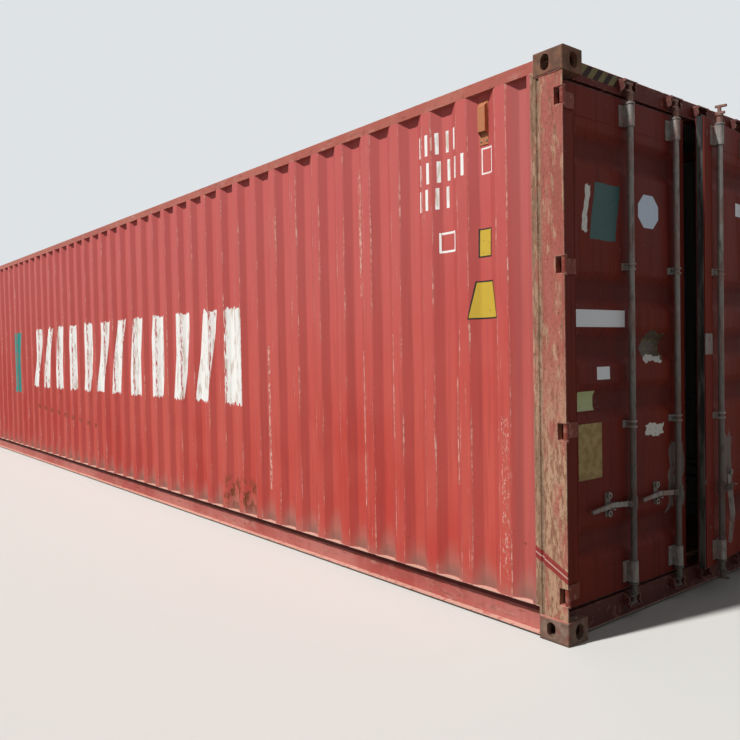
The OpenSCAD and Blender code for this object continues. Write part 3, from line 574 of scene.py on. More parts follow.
@dataclass(frozen=True)
class WallPaint(Finish):
    """Faded red topcoat on a corrugated wall, worn at the folds, with plain white bars.

    Each box is given along and up the wall: rows of dashes, outlines with the width of their
    line, and the columns in which something has scraped the wall.
    """

    rows: tuple = (((5.06, 5.36), (2.56, 2.68)), ((5.07, 5.44), (2.40, 2.52)),
                   ((5.06, 5.33), (2.25, 2.37)))
    outlines: tuple = (((5.538, 5.622), (2.385, 2.525), 8 * MM),
                       ((5.22, 5.35), (2.0, 2.115), 12 * MM))
    scrapes: tuple = (((4.47, 4.515), (1.8, 2.62)), ((4.5, 4.53), (0.45, 1.45)),
                      ((3.31, 3.34), (0.4, 1.5)), ((4.81, 4.83), (0.9, 1.55)),
                      ((5.34, 5.36), (0.7, 1.3)))
    bar_pitch: float = 0.5
    bar_start: float = -2.9
    bar_lean: float = 0.16
    dash_pitch: float = 0.068

    def box(self, brush: Brush, x: tuple[float, float], z: tuple[float, float],
            soft: float = 1 * MM) -> Socket:
        """A mask of a rectangle of the wall."""
        return brush.join(Join.ALL, brush.band(brush.x, *x, soft), brush.band(brush.z, *z, soft))

    def bars(self, brush: Brush) -> Socket:
        """White bars that lean right, each half as wide as its pitch, with ragged tops."""
        ragged = brush.cloud(0.03, (1, 1, 2.5), seed=9, detail=4.0)
        height = brush.add("ShaderNodeMath", {0: ragged, 1: 0.12, 2: brush.z},
                           operation="MULTIPLY_ADD")
        leaning = brush.along((1, 0, -self.bar_lean), self.bar_start - self.bar_lean)
        step = brush.add("ShaderNodeMath", {0: leaning, 1: self.bar_pitch, 2: 0.0},
                         operation="WRAP")
        slanted = brush.join(Join.ALL, brush.band(step, 0.02, 0.27, 2 * MM),
                             brush.band(leaning, 0.0, 11 * self.bar_pitch, 2 * MM))
        bars = brush.join(Join.ANY, slanted, brush.band(brush.x, 2.68, 2.96, 2 * MM))
        return brush.join(Join.ALL, bars, brush.band(height, 1.1, 1.88, 4 * MM))

    def dashes(self, brush: Brush, x: tuple[float, float], z: tuple[float, float]) -> Socket:
        """A row of short upright dashes, 22 mm wide, in a box of the wall."""
        step = brush.add("ShaderNodeMath", {
            0: brush.along((1, 0, 0), x[0]), 1: self.dash_pitch, 2: 0.0}, operation="WRAP")
        return brush.join(Join.ALL, brush.band(step, 6 * MM, 28 * MM, 1 * MM),
                          self.box(brush, x, z))

    def outline(self, brush: Brush, x: tuple[float, float], z: tuple[float, float],
                line: float) -> Socket:
        """A plain rectangular outline on the wall."""
        inner = self.box(brush, (x[0] + line, x[1] - line), (z[0] + line, z[1] - line))
        return brush.join(Join.BUT, self.box(brush, x, z), inner)

    def draw(self, brush: Brush) -> Coat:
        """Topcoat, white paint, scuffed folds, grime at the foot and rust spots, in that order."""
        fold = brush.add("ShaderNodeMath", {
            0: brush.along((1, 0, 0), LAST_CREST), 1: WALL_PITCH / 2}, operation="PINGPONG")
        crest, valley = brush.band(fold, None, 0.05, 0.01), brush.band(fold, 0.075, None, 0.04)
        left = brush.band(brush.y, None, 0.0, 0.5)
        chipped = brush.join(Join.ALL, brush.band(fold, 0.038, 0.062, 5 * MM),
                             brush.patches(0.012, 0.52, 0.03, (0.7, 1, 5), seed=10, detail=4.0))
        worn = brush.join(Join.ANY, chipped, brush.patches(0.03, 0.7, 0.02, (1, 1, 3), seed=11))
        marks = brush.join(Join.ANY, self.bars(brush),
                           *[self.dashes(brush, *row) for row in self.rows],
                           *[self.outline(brush, *outline) for outline in self.outlines])
        lime = brush.over(Coat("#F1EFEA", 0.6), (
            Coat("#CFC3B4", 0.7), brush.patches(0.05, 0.6, 0.08, (1, 1, 4), seed=12)))
        teal = brush.join(
            Join.ALL, brush.band(brush.along((1, 0, -0.2), -4.13), 0.0, 0.34, 3 * MM),
            brush.band(brush.z, 0.93, 1.8, 6 * MM))
        broad = brush.patches(0.5, 0.47, 0.12, (1, 1, 0.8), seed=7)
        scuffed = brush.join(
            Join.ALL, brush.band(fold, 0.033, 0.045, 3 * MM),
            brush.patches(0.02, 0.55, 0.05, (0.5, 1, 14), seed=6, detail=5.0), broad)
        scratched = brush.join(
            Join.ALL, brush.patches(6 * MM, 0.7, 0.03, (1, 1, 60), seed=8), crest, broad)
        scraped = brush.join(
            Join.ALL, brush.patches(0.012, 0.46, 0.06, (1, 1, 7), seed=17),
            brush.join(Join.ANY, *[self.box(brush, x, z, 4 * MM) for x, z in self.scrapes]))
        scribed = brush.join(
            Join.ALL, brush.patches(6 * MM, 0.57, 0.06, (1, 1, 3), seed=29),
            self.box(brush, (5.68, 5.73), (0.25, 1.1), 3 * MM), left)
        tan = brush.over(Coat("#DDB4A6", 0.8), (
            Coat("#A86A56", 0.85), brush.patches(0.03, 0.5, 0.1, seed=13)))
        height = brush.z
        for pattern, share in ((valley, -0.1), (brush.cloud(0.12, (1, 1, 3), seed=14), 0.2)):
            height = brush.add("ShaderNodeMath", {0: pattern, 1: share, 2: height},
                               operation="MULTIPLY_ADD")
        foot = brush.band(height, None, WALL_FOOT + 0.12, 0.1)
        row = brush.join(
            Join.ALL, brush.band(brush.along((0.056, 0, 1), 0.626), -0.03, 0.02, 0.012),
            brush.band(brush.x, -2.8, -0.4, 0.02), crest,
            brush.patches(0.02, 0.44, 0.08, seed=30))
        patch = brush.join(Join.ALL, self.box(brush, (2.62, 3.15), (0.2, 0.42), 0.06),
                           brush.patches(0.05, 0.5, 0.06, (1, 1, 1.6), seed=18))
        spots = brush.join(Join.ALL, brush.patches(0.02, 0.7, 0.02, seed=16),
                           brush.band(brush.z, None, 0.7, 0.5))
        rusty = brush.join(Join.ANY, spots, brush.join(
            Join.ALL, brush.join(Join.ANY, row, patch), left))
        return brush.over(
            self.sprayed(brush, "#BC443A", "#C4594E", "#963A34"),
            (Coat("#C26462", 0.66), brush.band(brush.z, 1.7, None, 1.0), 0.6),
            # Painted shade: both slopes of each fold are a darker red than the crests and valleys.
            (Coat("#A33F3B", 0.6), brush.band(fold, 0.04, 0.1, 8 * MM), 0.35),
            (Coat("#A06A66", 0.75), brush.band(brush.x, LAST_CREST + 0.06, None, 0.03), 0.25),
            (lime, brush.join(Join.BUT, marks, worn), left),
            (Coat("#2F8E86", 0.6), brush.join(Join.BUT, teal, worn), left),
            (tan, brush.join(Join.ANY, scuffed, scratched, scraped, scribed), 0.8),
            (Coat("#A4786A", 0.9), foot, 0.6),
            (Coat("#6E5A50", 0.92), foot, valley,
             brush.band(brush.z, None, WALL_FOOT + 0.05, 0.05), 0.6),
            (self.rust(brush), rusty, 0.85))


@dataclass(frozen=True)
class PanelPaint(Finish):
    """Faded red topcoat on the front wall, with grime at the foot, rust streaks and spots."""

    def draw(self, brush: Brush) -> Coat:
        """Topcoat, grime, streaks and spots of rust."""
        rusty = brush.join(
            Join.ANY, brush.patches(0.012, 0.66, 0.04, (1, 1, 14), seed=19, detail=4.0),
            brush.patches(0.02, 0.69, 0.02, seed=16))
        return brush.over(
            self.sprayed(brush, "#BE4640", "#C66058", "#963A36"),
            (Coat("#6E5646", 0.9), brush.band(brush.z, None, WALL_FOOT + 0.08, 0.08), 0.6),
            (self.rust(brush), rusty, 0.8))


@dataclass(frozen=True)
class FramePaint(Finish):
    """Red topcoat on rails and sills, knocked and scraped down to primer and brown steel.

    bare is how much of the paint has gone, from 0 to 1, and edge is a height above which only a
    pale rubbed line is left, as on the flange that the wall stands on. The lowest lip is rubbed
    pale too. A painted shadow, dark maroon, lies from the height shade up to that flange.
    """

    colour: str = "#A4524A"
    faded: str = "#B3685C"
    bare: float = 0.3
    edge: float = 9.0
    shade: float = 9.0
    rounding = 2 * MM

    def draw(self, brush: Brush) -> Coat:
        """Topcoat, worn patches of primer, streaks of rust and pale scratches."""
        primer = brush.over(Coat("#C08C80", 0.82), (
            Coat("#86503E", 0.85), brush.patches(0.02, 0.52, 0.1, (3, 1, 1), seed=22)))
        wear = brush.patches(0.05, 0.68 - 0.26 * self.bare, 0.12, (2.5, 1, 1), seed=21, detail=6.0)
        rubbed = brush.join(Join.ALL, brush.edges(5 * MM), brush.patches(0.03, 0.5, 0.06, seed=25))
        lip = brush.join(Join.ALL, brush.band(brush.z, None, 0.019, 2 * MM),
                         brush.patches(0.03, 0.4, 0.1, seed=27))
        line = brush.join(Join.ANY, brush.band(brush.z, self.edge, None, 1 * MM), lip)
        return brush.over(
            self.sprayed(brush, self.colour, self.faded, self.colour), (primer, wear, 0.6),
            (self.rust(brush),
             brush.patches(0.02, 0.64, 0.08, (3, 1, 1), seed=23, detail=5.0), 0.5),
            # Painted shadow: dark maroon on the web under the overhanging flange, between the
            # heights shade and edge.
            (Coat("#4E1E20", 0.85), brush.band(brush.z, self.shade, self.edge, 3 * MM), 0.8),
            (Coat("#D9B8A4", 0.8), brush.join(Join.ANY, rubbed, line), 0.6))


@dataclass(frozen=True)
class PostPaint(Finish):
    """Topcoat on the corner posts, streaked down to olive primer and tan steel by handling.

    The wear is worst in the strip along the groove, between strip[0] and strip[1] from the middle
    of the container, and below the height low, where other containers have rubbed it. A plain
    dark tape with a pale line slants over the foot of the left door post.
    """

    strip: tuple[float, float] = (5.88, 5.957)
    low: float = 1.25
    rounding = 2 * MM

    def draw(self, brush: Brush) -> Coat:
        """Topcoat, streaks of primer in two tones, pale flecks, rust and rubbed edges."""
        from_middle = brush.add("ShaderNodeMath", {0: brush.x}, operation="ABSOLUTE")
        strip = brush.band(from_middle, *self.strip, 0.012)
        fine = brush.cloud(0.025, (1, 1, 4), seed=21, detail=8.0)
        wear = brush.join(
            Join.ANY, brush.band(fine, 0.6, None, 0.1),
            brush.join(Join.ALL, brush.band(fine, 0.42, None, 0.14), strip),
            brush.join(Join.ALL, brush.patches(0.05, 0.42, 0.08, (1, 1, 3), seed=26, detail=8.0),
                       brush.band(brush.z, None, self.low, 0.45)))
        primer = brush.over(Coat("#B8987A", 0.82), (
            Coat("#86624A", 0.85),
            brush.patches(0.014, 0.54, 0.08, (1, 1, 4), seed=22, detail=8.0)))
        rubbed = brush.join(Join.ALL, brush.edges(6 * MM), brush.patches(0.03, 0.46, 0.08, seed=25))
        pale = brush.join(
            Join.ANY, brush.patches(7 * MM, 0.68, 0.04, (1, 1, 3), seed=24, detail=5.0), rubbed)
        tape = brush.along((0.52, 0, 1), 3.5024)
        near = brush.join(
            Join.ALL, brush.band(brush.y, None, 0.0, 0.5), brush.band(brush.x, 5.8, None, 0.05),
            brush.band(brush.z, 0.2, 0.6, 0.01))
        return brush.over(
            self.sprayed(brush, "#A4564A", "#B06A5C", "#7A4034"), (primer, wear, 0.8),
            (self.rust(brush),
             brush.patches(0.02, 0.62, 0.08, (1, 1, 6), seed=23, detail=8.0), 0.45),
            (Coat("#6E5A44", 0.85), strip,
             brush.patches(0.03, 0.46, 0.12, (1, 1, 9), seed=28), 0.6),
            (Coat("#5C4030", 0.88),
             brush.patches(6 * MM, 0.6, 0.05, (1, 1, 1.8), seed=36, detail=5.0), 0.6),
            (Coat("#DCC4AC", 0.8), pale, 0.6),
            (Coat("#8E2628", 0.5), near, brush.band(tape, -0.03, 0.03, 2 * MM), 0.9),
            (Coat("#C9A89A", 0.6), near, brush.band(tape, -0.004, 0.004, 1 * MM), 0.8))


@dataclass(frozen=True)
class CastingPaint(Finish):
    """Dark worn paint on sand-cast steel, rubbed to pale edges, with a coarse cast skin."""

    colour: str = "#5E4234"
    bare: str = "#7E5A44"
    rounding = 3 * MM

    def draw(self, brush: Brush) -> Coat:
        """Brown coat with red left in patches, rust, and bright rubbed edges."""
        rubbed = brush.join(Join.ALL, brush.edges(7 * MM),
                            brush.patches(0.012, 0.48, 0.08, seed=35))
        return brush.over(
            Coat(self.colour, 0.78, lift=brush.relief(3 * MM, 0.4 * MM, seed=31, detail=3.0)),
            (Coat(self.bare, 0.74), brush.patches(0.05, 0.5, 0.16, seed=32)),
            (Coat("#7E4034", 0.65), brush.patches(0.045, 0.58, 0.08, seed=33), 0.5),
            (self.rust(brush), brush.patches(0.01, 0.64, 0.08, seed=34), 0.5),
            (Coat("#A88C74", 0.7), rubbed, 0.6))


@dataclass(frozen=True)
class DoorPaint(Finish):
    """Red topcoat on the doors, darkened as painted shade, with brown dust lying in the ribs.

    out is the way that the door faces, and face is the distance of its plane along that way;
    bare_y and bare_z bound the place where its paint has peeled.
    """

    out: tuple[float, float, float] = (1, 0, 0)
    face: float = DOOR_FACE
    bare_y: tuple[float, float] = (0, 0)
    bare_z: tuple[float, float] = (0, 0)
    rounding = 2 * MM
    shine = 0.12

    def draw(self, brush: Brush) -> Coat:
        """Topcoat, dust in the ribs, a peeled grey patch, scratches, streaks and spots of rust."""
        bare = brush.join(Join.ALL, brush.band(brush.y, *self.bare_y, 0.03),
                          brush.band(brush.z, *self.bare_z, 0.05))
        ragged = brush.add("ShaderNodeMath", {0: bare, 1: 0.35, 2: brush.cloud(
            0.05, (1, 1, 2), seed=41, detail=6.0)}, operation="MULTIPLY_ADD")
        rusty = brush.join(
            Join.ANY, brush.patches(0.014, 0.66, 0.06, (1, 1, 12), seed=42, detail=4.0),
            brush.patches(0.012, 0.71, 0.02, seed=43))
        depth = brush.along(self.out, self.face)
        return brush.over(
            # Painted shade: the topcoat's reds are darker than the walls', as though the doors
            # stood in shade.
            self.sprayed(brush, "#66221D", "#802E20", "#3C1713"),
            (Coat("#5A3634", 0.85), brush.band(depth, None, -0.022, 0.01), 0.45),
            (Coat("#7F7773", 0.8), brush.band(ragged, 0.72, None, 0.03), 0.85),
            (Coat("#A08478", 0.8), brush.patches(3 * MM, 0.72, 0.02, (1, 6, 1.5), seed=44), 0.5),
            (self.rust(brush), rusty, 0.7))


@dataclass(frozen=True)
class InnerPaint(Finish):
    """Pale grey coat inside the container, scuffed by cargo up to shoulder height."""

    def draw(self, brush: Brush) -> Coat:
        """Grey coat with blotches, dark scuffs and a few rust spots."""
        return brush.over(
            self.sprayed(brush, "#A9ABA8", "#B5B5AF", "#85827A"),
            (Coat("#6A6258", 0.8),
             brush.patches(0.02, 0.62, 0.03, (12, 1, 1.5), seed=51, detail=5.0),
             brush.band(brush.z, None, 1.3, 0.6), 0.7),
            (self.rust(brush), brush.patches(0.015, 0.72, 0.02, seed=52)))


@dataclass(frozen=True)
class ZincCoat(Finish):
    """Hot-dip galvanised steel, dull with age: crystals 12 mm wide, red overspray, rusty spots.

    Above the height top the red door paint still covers it in part, and below the height low it is
    dark with road dirt.
    """

    tone: str = "#9A948E"
    top: float = 9.0
    low: float = -9.0
    rounding = 1.5 * MM

    def draw(self, brush: Brush) -> Coat:
        """Zinc with crystals, overspray, dirt and rust."""
        place = brush.add("ShaderNodeMapping", {"Vector": brush.place, "Scale": (80, 80, 30)})
        crystal = brush.add("ShaderNodeTexVoronoi", {"Vector": place, "Scale": 1.0}, "Color")
        return brush.over(
            Coat(self.tone, 0.5, 0.3, brush.relief(5 * MM, 0.1 * MM, seed=61)),
            (Coat("#827C76", 0.64), brush.add("ShaderNodeSeparateColor", {0: crystal})),
            (Coat("#8C5A4E", 0.7), brush.patches(0.05, 0.56, 0.1, (1, 1, 4), seed=62), 0.5),
            (Coat("#4A423C", 0.85), brush.patches(0.02, 0.62, 0.06, (1, 1, 5), seed=63), 0.5),
            (Coat("#3E3630", 0.85), brush.band(brush.z, None, self.low, 0.7), 0.55),
            (Coat("#8C5C50", 0.7), brush.band(brush.z, self.top, None, 5 * MM),
             brush.patches(0.02, 0.42, 0.1, seed=65), 0.8),
            (self.rust(brush), brush.patches(0.012, 0.69, 0.03, seed=64), 0.9))


@dataclass(frozen=True)
class SealRubber(Finish):
    """Extruded rubber, nearly black with a soft sheen, greyed in patches by weather and dust."""

    def draw(self, brush: Brush) -> Coat:
        """Grey-black rubber with a chalky bloom."""
        return brush.over(Coat("#232120", 0.55, lift=brush.relief(2 * MM, 0.08 * MM, seed=72)), (
            Coat("#5E5A54", 0.8), brush.patches(0.05, 0.52, 0.12, (1, 1, 6), seed=71)))


@dataclass(frozen=True)
class Plywood(Finish):
    """Hardwood plywood floor: long brown grain under a worn seal coat, dark with wheel marks."""

    def draw(self, brush: Brush) -> Coat:
        """Grain 4 mm wide along X, wheel marks and scratches."""
        along = (30, 1, 1)
        return brush.over(
            Coat("#6E4A2E", 0.7, lift=brush.relief(4 * MM, 0.15 * MM, along, seed=81, detail=4.0)),
            (Coat("#A27A50", 0.55), brush.patches(4 * MM, 0.5, 0.12, along, seed=81, detail=4.0)),
            (Coat("#4B3A2C", 0.8), brush.patches(0.12, 0.55, 0.1, (8, 1, 1), seed=82), 0.6),
            (Coat("#B59A78", 0.8), brush.patches(3 * MM, 0.7, 0.03, (40, 1, 1), seed=83), 0.6))


@dataclass(frozen=True)
class UndersideCoat(Finish):
    """Black bitumen underside coat: thick, uneven, half matt, dusty where the road throws dirt."""

    def draw(self, brush: Brush) -> Coat:
        """Lumpy black coat with dusty patches."""
        lump = brush.relief(0.012, 0.8 * MM, seed=92, detail=3.0)
        return brush.over(Coat("#1C1A18", 0.5, lift=lump), (
            Coat("#4A4036", 0.9), brush.patches(0.12, 0.55, 0.12, seed=91)))


@dataclass(frozen=True)
class RoofPaint(Finish):
    """Red topcoat on the roof, bleached by the sun, with dirt in the valleys and patchy rust."""

    def draw(self, brush: Brush) -> Coat:
        """Bleached topcoat, dirt lying in the valleys, rust patches."""
        dirt = brush.over(Coat("#6E5A4C", 0.92), (
            Coat("#8C7662", 0.92), brush.patches(0.05, 0.5, 0.1, seed=101)))
        return brush.over(
            self.sprayed(brush, "#AC554B", "#BE7869", "#7C3C33"),
            (dirt, brush.band(brush.z, None, ROOF_TOP - 0.014, 6 * MM),
             brush.patches(0.4, 0.45, 0.12, seed=102), 0.7),
            (self.rust(brush), brush.patches(0.07, 0.66, 0.03, seed=103, detail=6.0)))


@dataclass(frozen=True)
class VentPaint(Finish):
    """Tan paint on the pressed vent covers, faded, with streaks of dirt and rust spots."""

    rounding = 1.5 * MM

    def draw(self, brush: Brush) -> Coat:
        """Tan topcoat and rust."""
        return brush.over(self.sprayed(brush, "#B5704A", "#C2845C", "#85492F"), (
            self.rust(brush), brush.patches(0.012, 0.66, 0.04, seed=111)))


@dataclass(frozen=True)
class VinylFilm(Finish):
    """Sign vinyl: one even colour, satin, with dirt in patches and in fine scratches."""

    colour: str = "#DAD8D3"
    dirt: str = "#8F8478"
    amount: float = 0.4

    def draw(self, brush: Brush) -> Coat:
        """Film with dirty patches and fine scratches."""
        dirty = Coat(self.dirt, 0.7)
        return brush.over(
            Coat(self.colour, 0.4, lift=brush.relief(6 * MM, 0.05 * MM, seed=122)),
            (dirty, brush.patches(0.02, 0.78 - 0.2 * self.amount, 0.05, seed=121, detail=5.0)),
            (dirty, brush.patches(2 * MM, 0.7, 0.03, (1, 5, 3), seed=123), 0.7))


@dataclass(frozen=True)
class EtchedPlate(Finish):
    """Blank etched metal plate, tanned and stained, with a dull metal gleam."""

    def draw(self, brush: Brush) -> Coat:
        """Tan metal with brown stains."""
        return brush.over(
            Coat("#A8905E", 0.5, 0.2, brush.relief(5 * MM, 0.1 * MM, seed=132)),
            (Coat("#8A6E42", 0.7), brush.patches(0.04, 0.5, 0.16, seed=131, detail=8.0), 0.8),
            (self.rust(brush), brush.patches(9 * MM, 0.63, 0.06, seed=133, detail=6.0), 0.6))


@dataclass(frozen=True)
class HeaderPaint(Finish):
    """Door header paint with slanted tan and black stripes near each end.

    The stripes lie between side[0] and side[1] from the middle, and above the height low.
    """

    side: tuple[float, float] = (0.68, 0.99)
    low: float = 2.808
    front: float = 6.035
    lean: float = 0.9
    pitch: float = 0.09
    rounding = 2 * MM
    shine = 0.12

    def draw(self, brush: Brush) -> Coat:
        """Dark door-red topcoat as painted shade, then stripes 45 mm wide, much worn."""
        # Painted shade: the header takes the doors' darkened red rather than the frame's own red.
        paint = FramePaint(colour="#5C241E", faded="#662C26", bare=0.1).draw(brush)
        side = brush.add("ShaderNodeMath", {0: brush.y}, operation="ABSOLUTE")
        leaning = brush.add("ShaderNodeMath", {0: brush.z, 1: self.lean, 2: side},
                            operation="MULTIPLY_ADD")
        step = brush.add("ShaderNodeMath", {0: leaning, 1: self.pitch, 2: 0.0}, operation="WRAP")
        zone = brush.join(Join.ALL, brush.band(side, *self.side, 2 * MM),
                          brush.band(brush.z, self.low, None, 1 * MM),
                          brush.band(brush.x, self.front, None, 2 * MM))
        zone = brush.join(Join.BUT, zone, brush.patches(0.02, 0.64, 0.03, seed=141, detail=5.0))
        return brush.over(
            paint, (Coat("#1D1A18", 0.6), zone, 0.85),
            (Coat("#8E8258", 0.6), zone, brush.band(step, 4 * MM, 49 * MM, 2 * MM), 0.75))


# The container's parts

@dataclass
class Sheet:
    """A corrugated sheet: crests of one width at one pitch, and slopes down to full depth."""

    pitch: float
    crest: float
    slope: float
    depth: float
    bend: float
    thickness: float = 2 * MM

    def away(self, place: np.ndarray, start: float = 0.0) -> np.ndarray:
        """Distance from the middle of the nearest crest, one of which lies at the start."""
        return np.abs((place - start + self.pitch / 2) % self.pitch - self.pitch / 2)

    def wave(self, away: np.ndarray) -> np.ndarray:
        """Share of the depth: the distance less half a crest over the slope, from 0 to 1."""
        return np.clip((away - self.crest / 2) / self.slope, 0, 1)

    def columns(self, centres: np.ndarray, steps: np.ndarray, reach: float,
                ends: Sequence[np.ndarray]) -> np.ndarray:
        """Places of the mesh's columns.

        Args:
            centres: middles of the crests.
            steps: distances from a middle, taken to both sides.
            reach: distance from the container's middle past which no such column is kept.
            ends: the other columns.

        Returns:
            The places, rounded and in order.
        """
        places = (centres[:, None] + np.concatenate([-steps, steps])).ravel()
        return np.unique(np.round(np.concatenate([places[np.abs(places) < reach], *ends]), 5))

    def shell(self, front: np.ndarray) -> Form:
        """The sheet behind its front, with another coat on its inner face."""
        return Form.shell(front, thickened(front, self.thickness), (0, 1, 0))


@dataclass
class SideWall(Sheet):
    """The corrugated side walls with rounded folds, small dents and grey inner faces."""

    pitch: float = WALL_PITCH
    crest: float = 0.072
    slope: float = 0.068
    depth: float = 0.036
    bend: float = 7 * MM
    flange: float = 0.026
    step: float = 0.012
    small_dents: int = 70
    vent: float = 5.56
    seed: int = 7

    def __post_init__(self) -> None:
        """Takes the wall's place from the frame."""
        low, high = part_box("side_wall_left")
        self.plane, self.foot, self.head, self.end = low[1], low[2], high[2], high[0]

    def sharp(self, x: np.ndarray) -> np.ndarray:
        """Depth of the sharp corrugations, with a steep step up to the flange at each end."""
        past = np.abs(x) - LAST_CREST
        wave = self.wave(np.where(past > 0, past, self.away(x, LAST_CREST)))
        ending = np.clip((self.end - self.flange - np.abs(x)) / self.step, 0, 1)
        return self.depth * np.minimum(wave, ending)

    def dents(self, x: np.ndarray, z: np.ndarray, scraped: bool) -> np.ndarray:
        """Inward dents: a sum of bells exp(-r squared), small ones spread about and a scraped row.

        Args:
            x: places along the wall.
            z: heights.
            scraped: whether the wall has the scraped row.

        Returns:
            How far each place is pressed in.
        """
        random = np.random.default_rng(self.seed + (not scraped))
        rows = [(random.uniform(-5.6, 5.6), random.uniform(0.3, 2.6), random.uniform(0.04, 0.16),
                 random.uniform(1, 4.5) * MM) for _ in range(self.small_dents)]
        if scraped:
            rows += [(place, 0.78 - 0.056 * (place + 2.75), 0.035, 9 * MM)
                     for place in LAST_CREST - self.pitch * np.arange(22, 31)]
        total = np.zeros_like(x)
        for place, level, size, press in rows:
            total += press * np.exp(-((x - place) / size) ** 2 - ((z - level) / size) ** 2)
        wave = 0.8 * MM * (np.sin(1.7 * x + 2.1 * z) + np.sin(0.9 * x - 3.3 * z))
        edge = np.clip(np.minimum(z - self.foot, self.head - z) / 0.1, 0, 1)
        return (total + 0.5 * wave) * edge

    def surface(self, x: np.ndarray, z: np.ndarray, lift: float = 0.0,
                scraped: bool = True) -> np.ndarray:
        """Points of the left wall's face: pressed in by the corrugation and the dents."""
        press = rounded(self.sharp, x, self.bend) + self.dents(x, z, scraped)
        return np.stack([x, self.plane + press - lift, z], -1)

    def form(self, scraped: bool) -> Form:
        """A left wall as a shell: point (i, j) lies at column x_i and height z_j."""
        steps = np.array([0, 27, 32, 36, 40, 45, 95, 100, 104, 108, 113, 139]) * MM
        ends = np.array([0, 15, 21, 26, 31, 38, 44]) * MM
        centres = LAST_CREST - self.pitch * np.arange(round(2 * LAST_CREST / self.pitch) + 1)
        x = self.columns(centres, steps, self.end - 0.046, [ends - self.end, self.end - ends])
        scrape = np.arange(0.55, 0.9, 0.025) if scraped else []
        z = np.concatenate([np.linspace(self.foot, self.head, 30), scrape])
        grid = np.meshgrid(x, np.unique(np.round(z, 5)), indexing="ij")
        return self.shell(self.surface(*grid, scraped=scraped))

    def build(self) -> None:
        """Makes both side walls."""
        for side, scraped in (("left", True), ("right", False)):
            form = self.form(scraped)
            make_piece(f"side_wall_{side}_sheet", form if scraped else form.mirrored(),
                       [WallPaint(), InnerPaint()], "container",
                       [f"side_wall_{side}"])

    def dress(self) -> None:
        """Lays the plain signs on the left wall and bolts the vents on."""
        yellow, dark = VinylFilm("#C9A93C", "#6E5A34"), VinylFilm("#2A2724", "#6A5A4A")
        signs = [((5.512, 1.945), (5.602, 2.1), 0.0), ((5.45, 1.615), (5.662, 1.82), 0.045)]
        forms, border = [], 8 * MM
        for low, high, taper in signs:
            inner = [[place + border for place in low], [place - border for place in high]]
            forms += [film(low, high, self.surface, taper=taper).coated(0),
                      film(*inner, self.surface, taper=taper, lift=0.9 * MM).coated(1)]
        make_piece("side_signs", Form.joined(forms), [dark, yellow], "container")
        plate, level = self.plane + self.depth - 3 * MM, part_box("side_vents")[0][2] + 0.02
        bolts = Form.joined([bolt((self.vent + dx, plate, level), (0, -1, 0), 5 * MM)
                             for dx in (-0.02, 0.02)])
        make_piece("vent_bolts", Form.joined([bolts, bolts.mirrored(0).mirrored(1)]), [ZincCoat()],
                   "container")


@dataclass
class FrontWall(Sheet):
    """The corrugated front wall, which closes the end away from the doors."""

    pitch: float = 0.25
    crest: float = 0.11
    slope: float = 0.018
    depth: float = 0.045
    bend: float = 6 * MM
    bulge: float = 1.5 * MM

    def __post_init__(self) -> None:
        """Takes the wall's box from the frame."""
        self.low, self.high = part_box("front_wall")
        self.half = self.high[1]

    def sharp(self, y: np.ndarray) -> np.ndarray:
        """Depth of the sharp corrugations, with a crest half a pitch from the middle."""
        ending = np.clip((self.half - self.slope - np.abs(y)) / self.slope, 0, 1)
        return self.depth * np.minimum(self.wave(self.away(y, self.pitch / 2)), ending)

    def build(self) -> None:
        """Makes the wall as a shell: point (i, j) lies at column y_i and height z_j."""
        steps = np.array([0, 25, 48, 52, 55, 59, 64, 69, 73, 77, 81, 100]) * MM
        ends = self.half - np.array([0, 9, 14, 18, 22, 27, 32, 36, 40, 44, 60]) * MM
        centres = self.pitch * (np.arange(8) - 3.5)
        columns = self.columns(centres, steps, self.half - 0.07, [ends, -ends])[::-1]
        y, z = np.meshgrid(columns, np.linspace(self.low[2], self.high[2], 24), indexing="ij")
        up = (z - self.low[2]) / (self.high[2] - self.low[2])
        press = rounded(self.sharp, y, self.bend)
        press += self.bulge * (1 + np.sin(3 * y + 2 * z)) * np.sin(math.pi * up) ** 2
        front = np.stack([self.low[0] + press, y, z], -1)
        make_piece("front_wall_sheet", self.shell(front), [PanelPaint(), InnerPaint()],
                   "container", ["front_wall"])


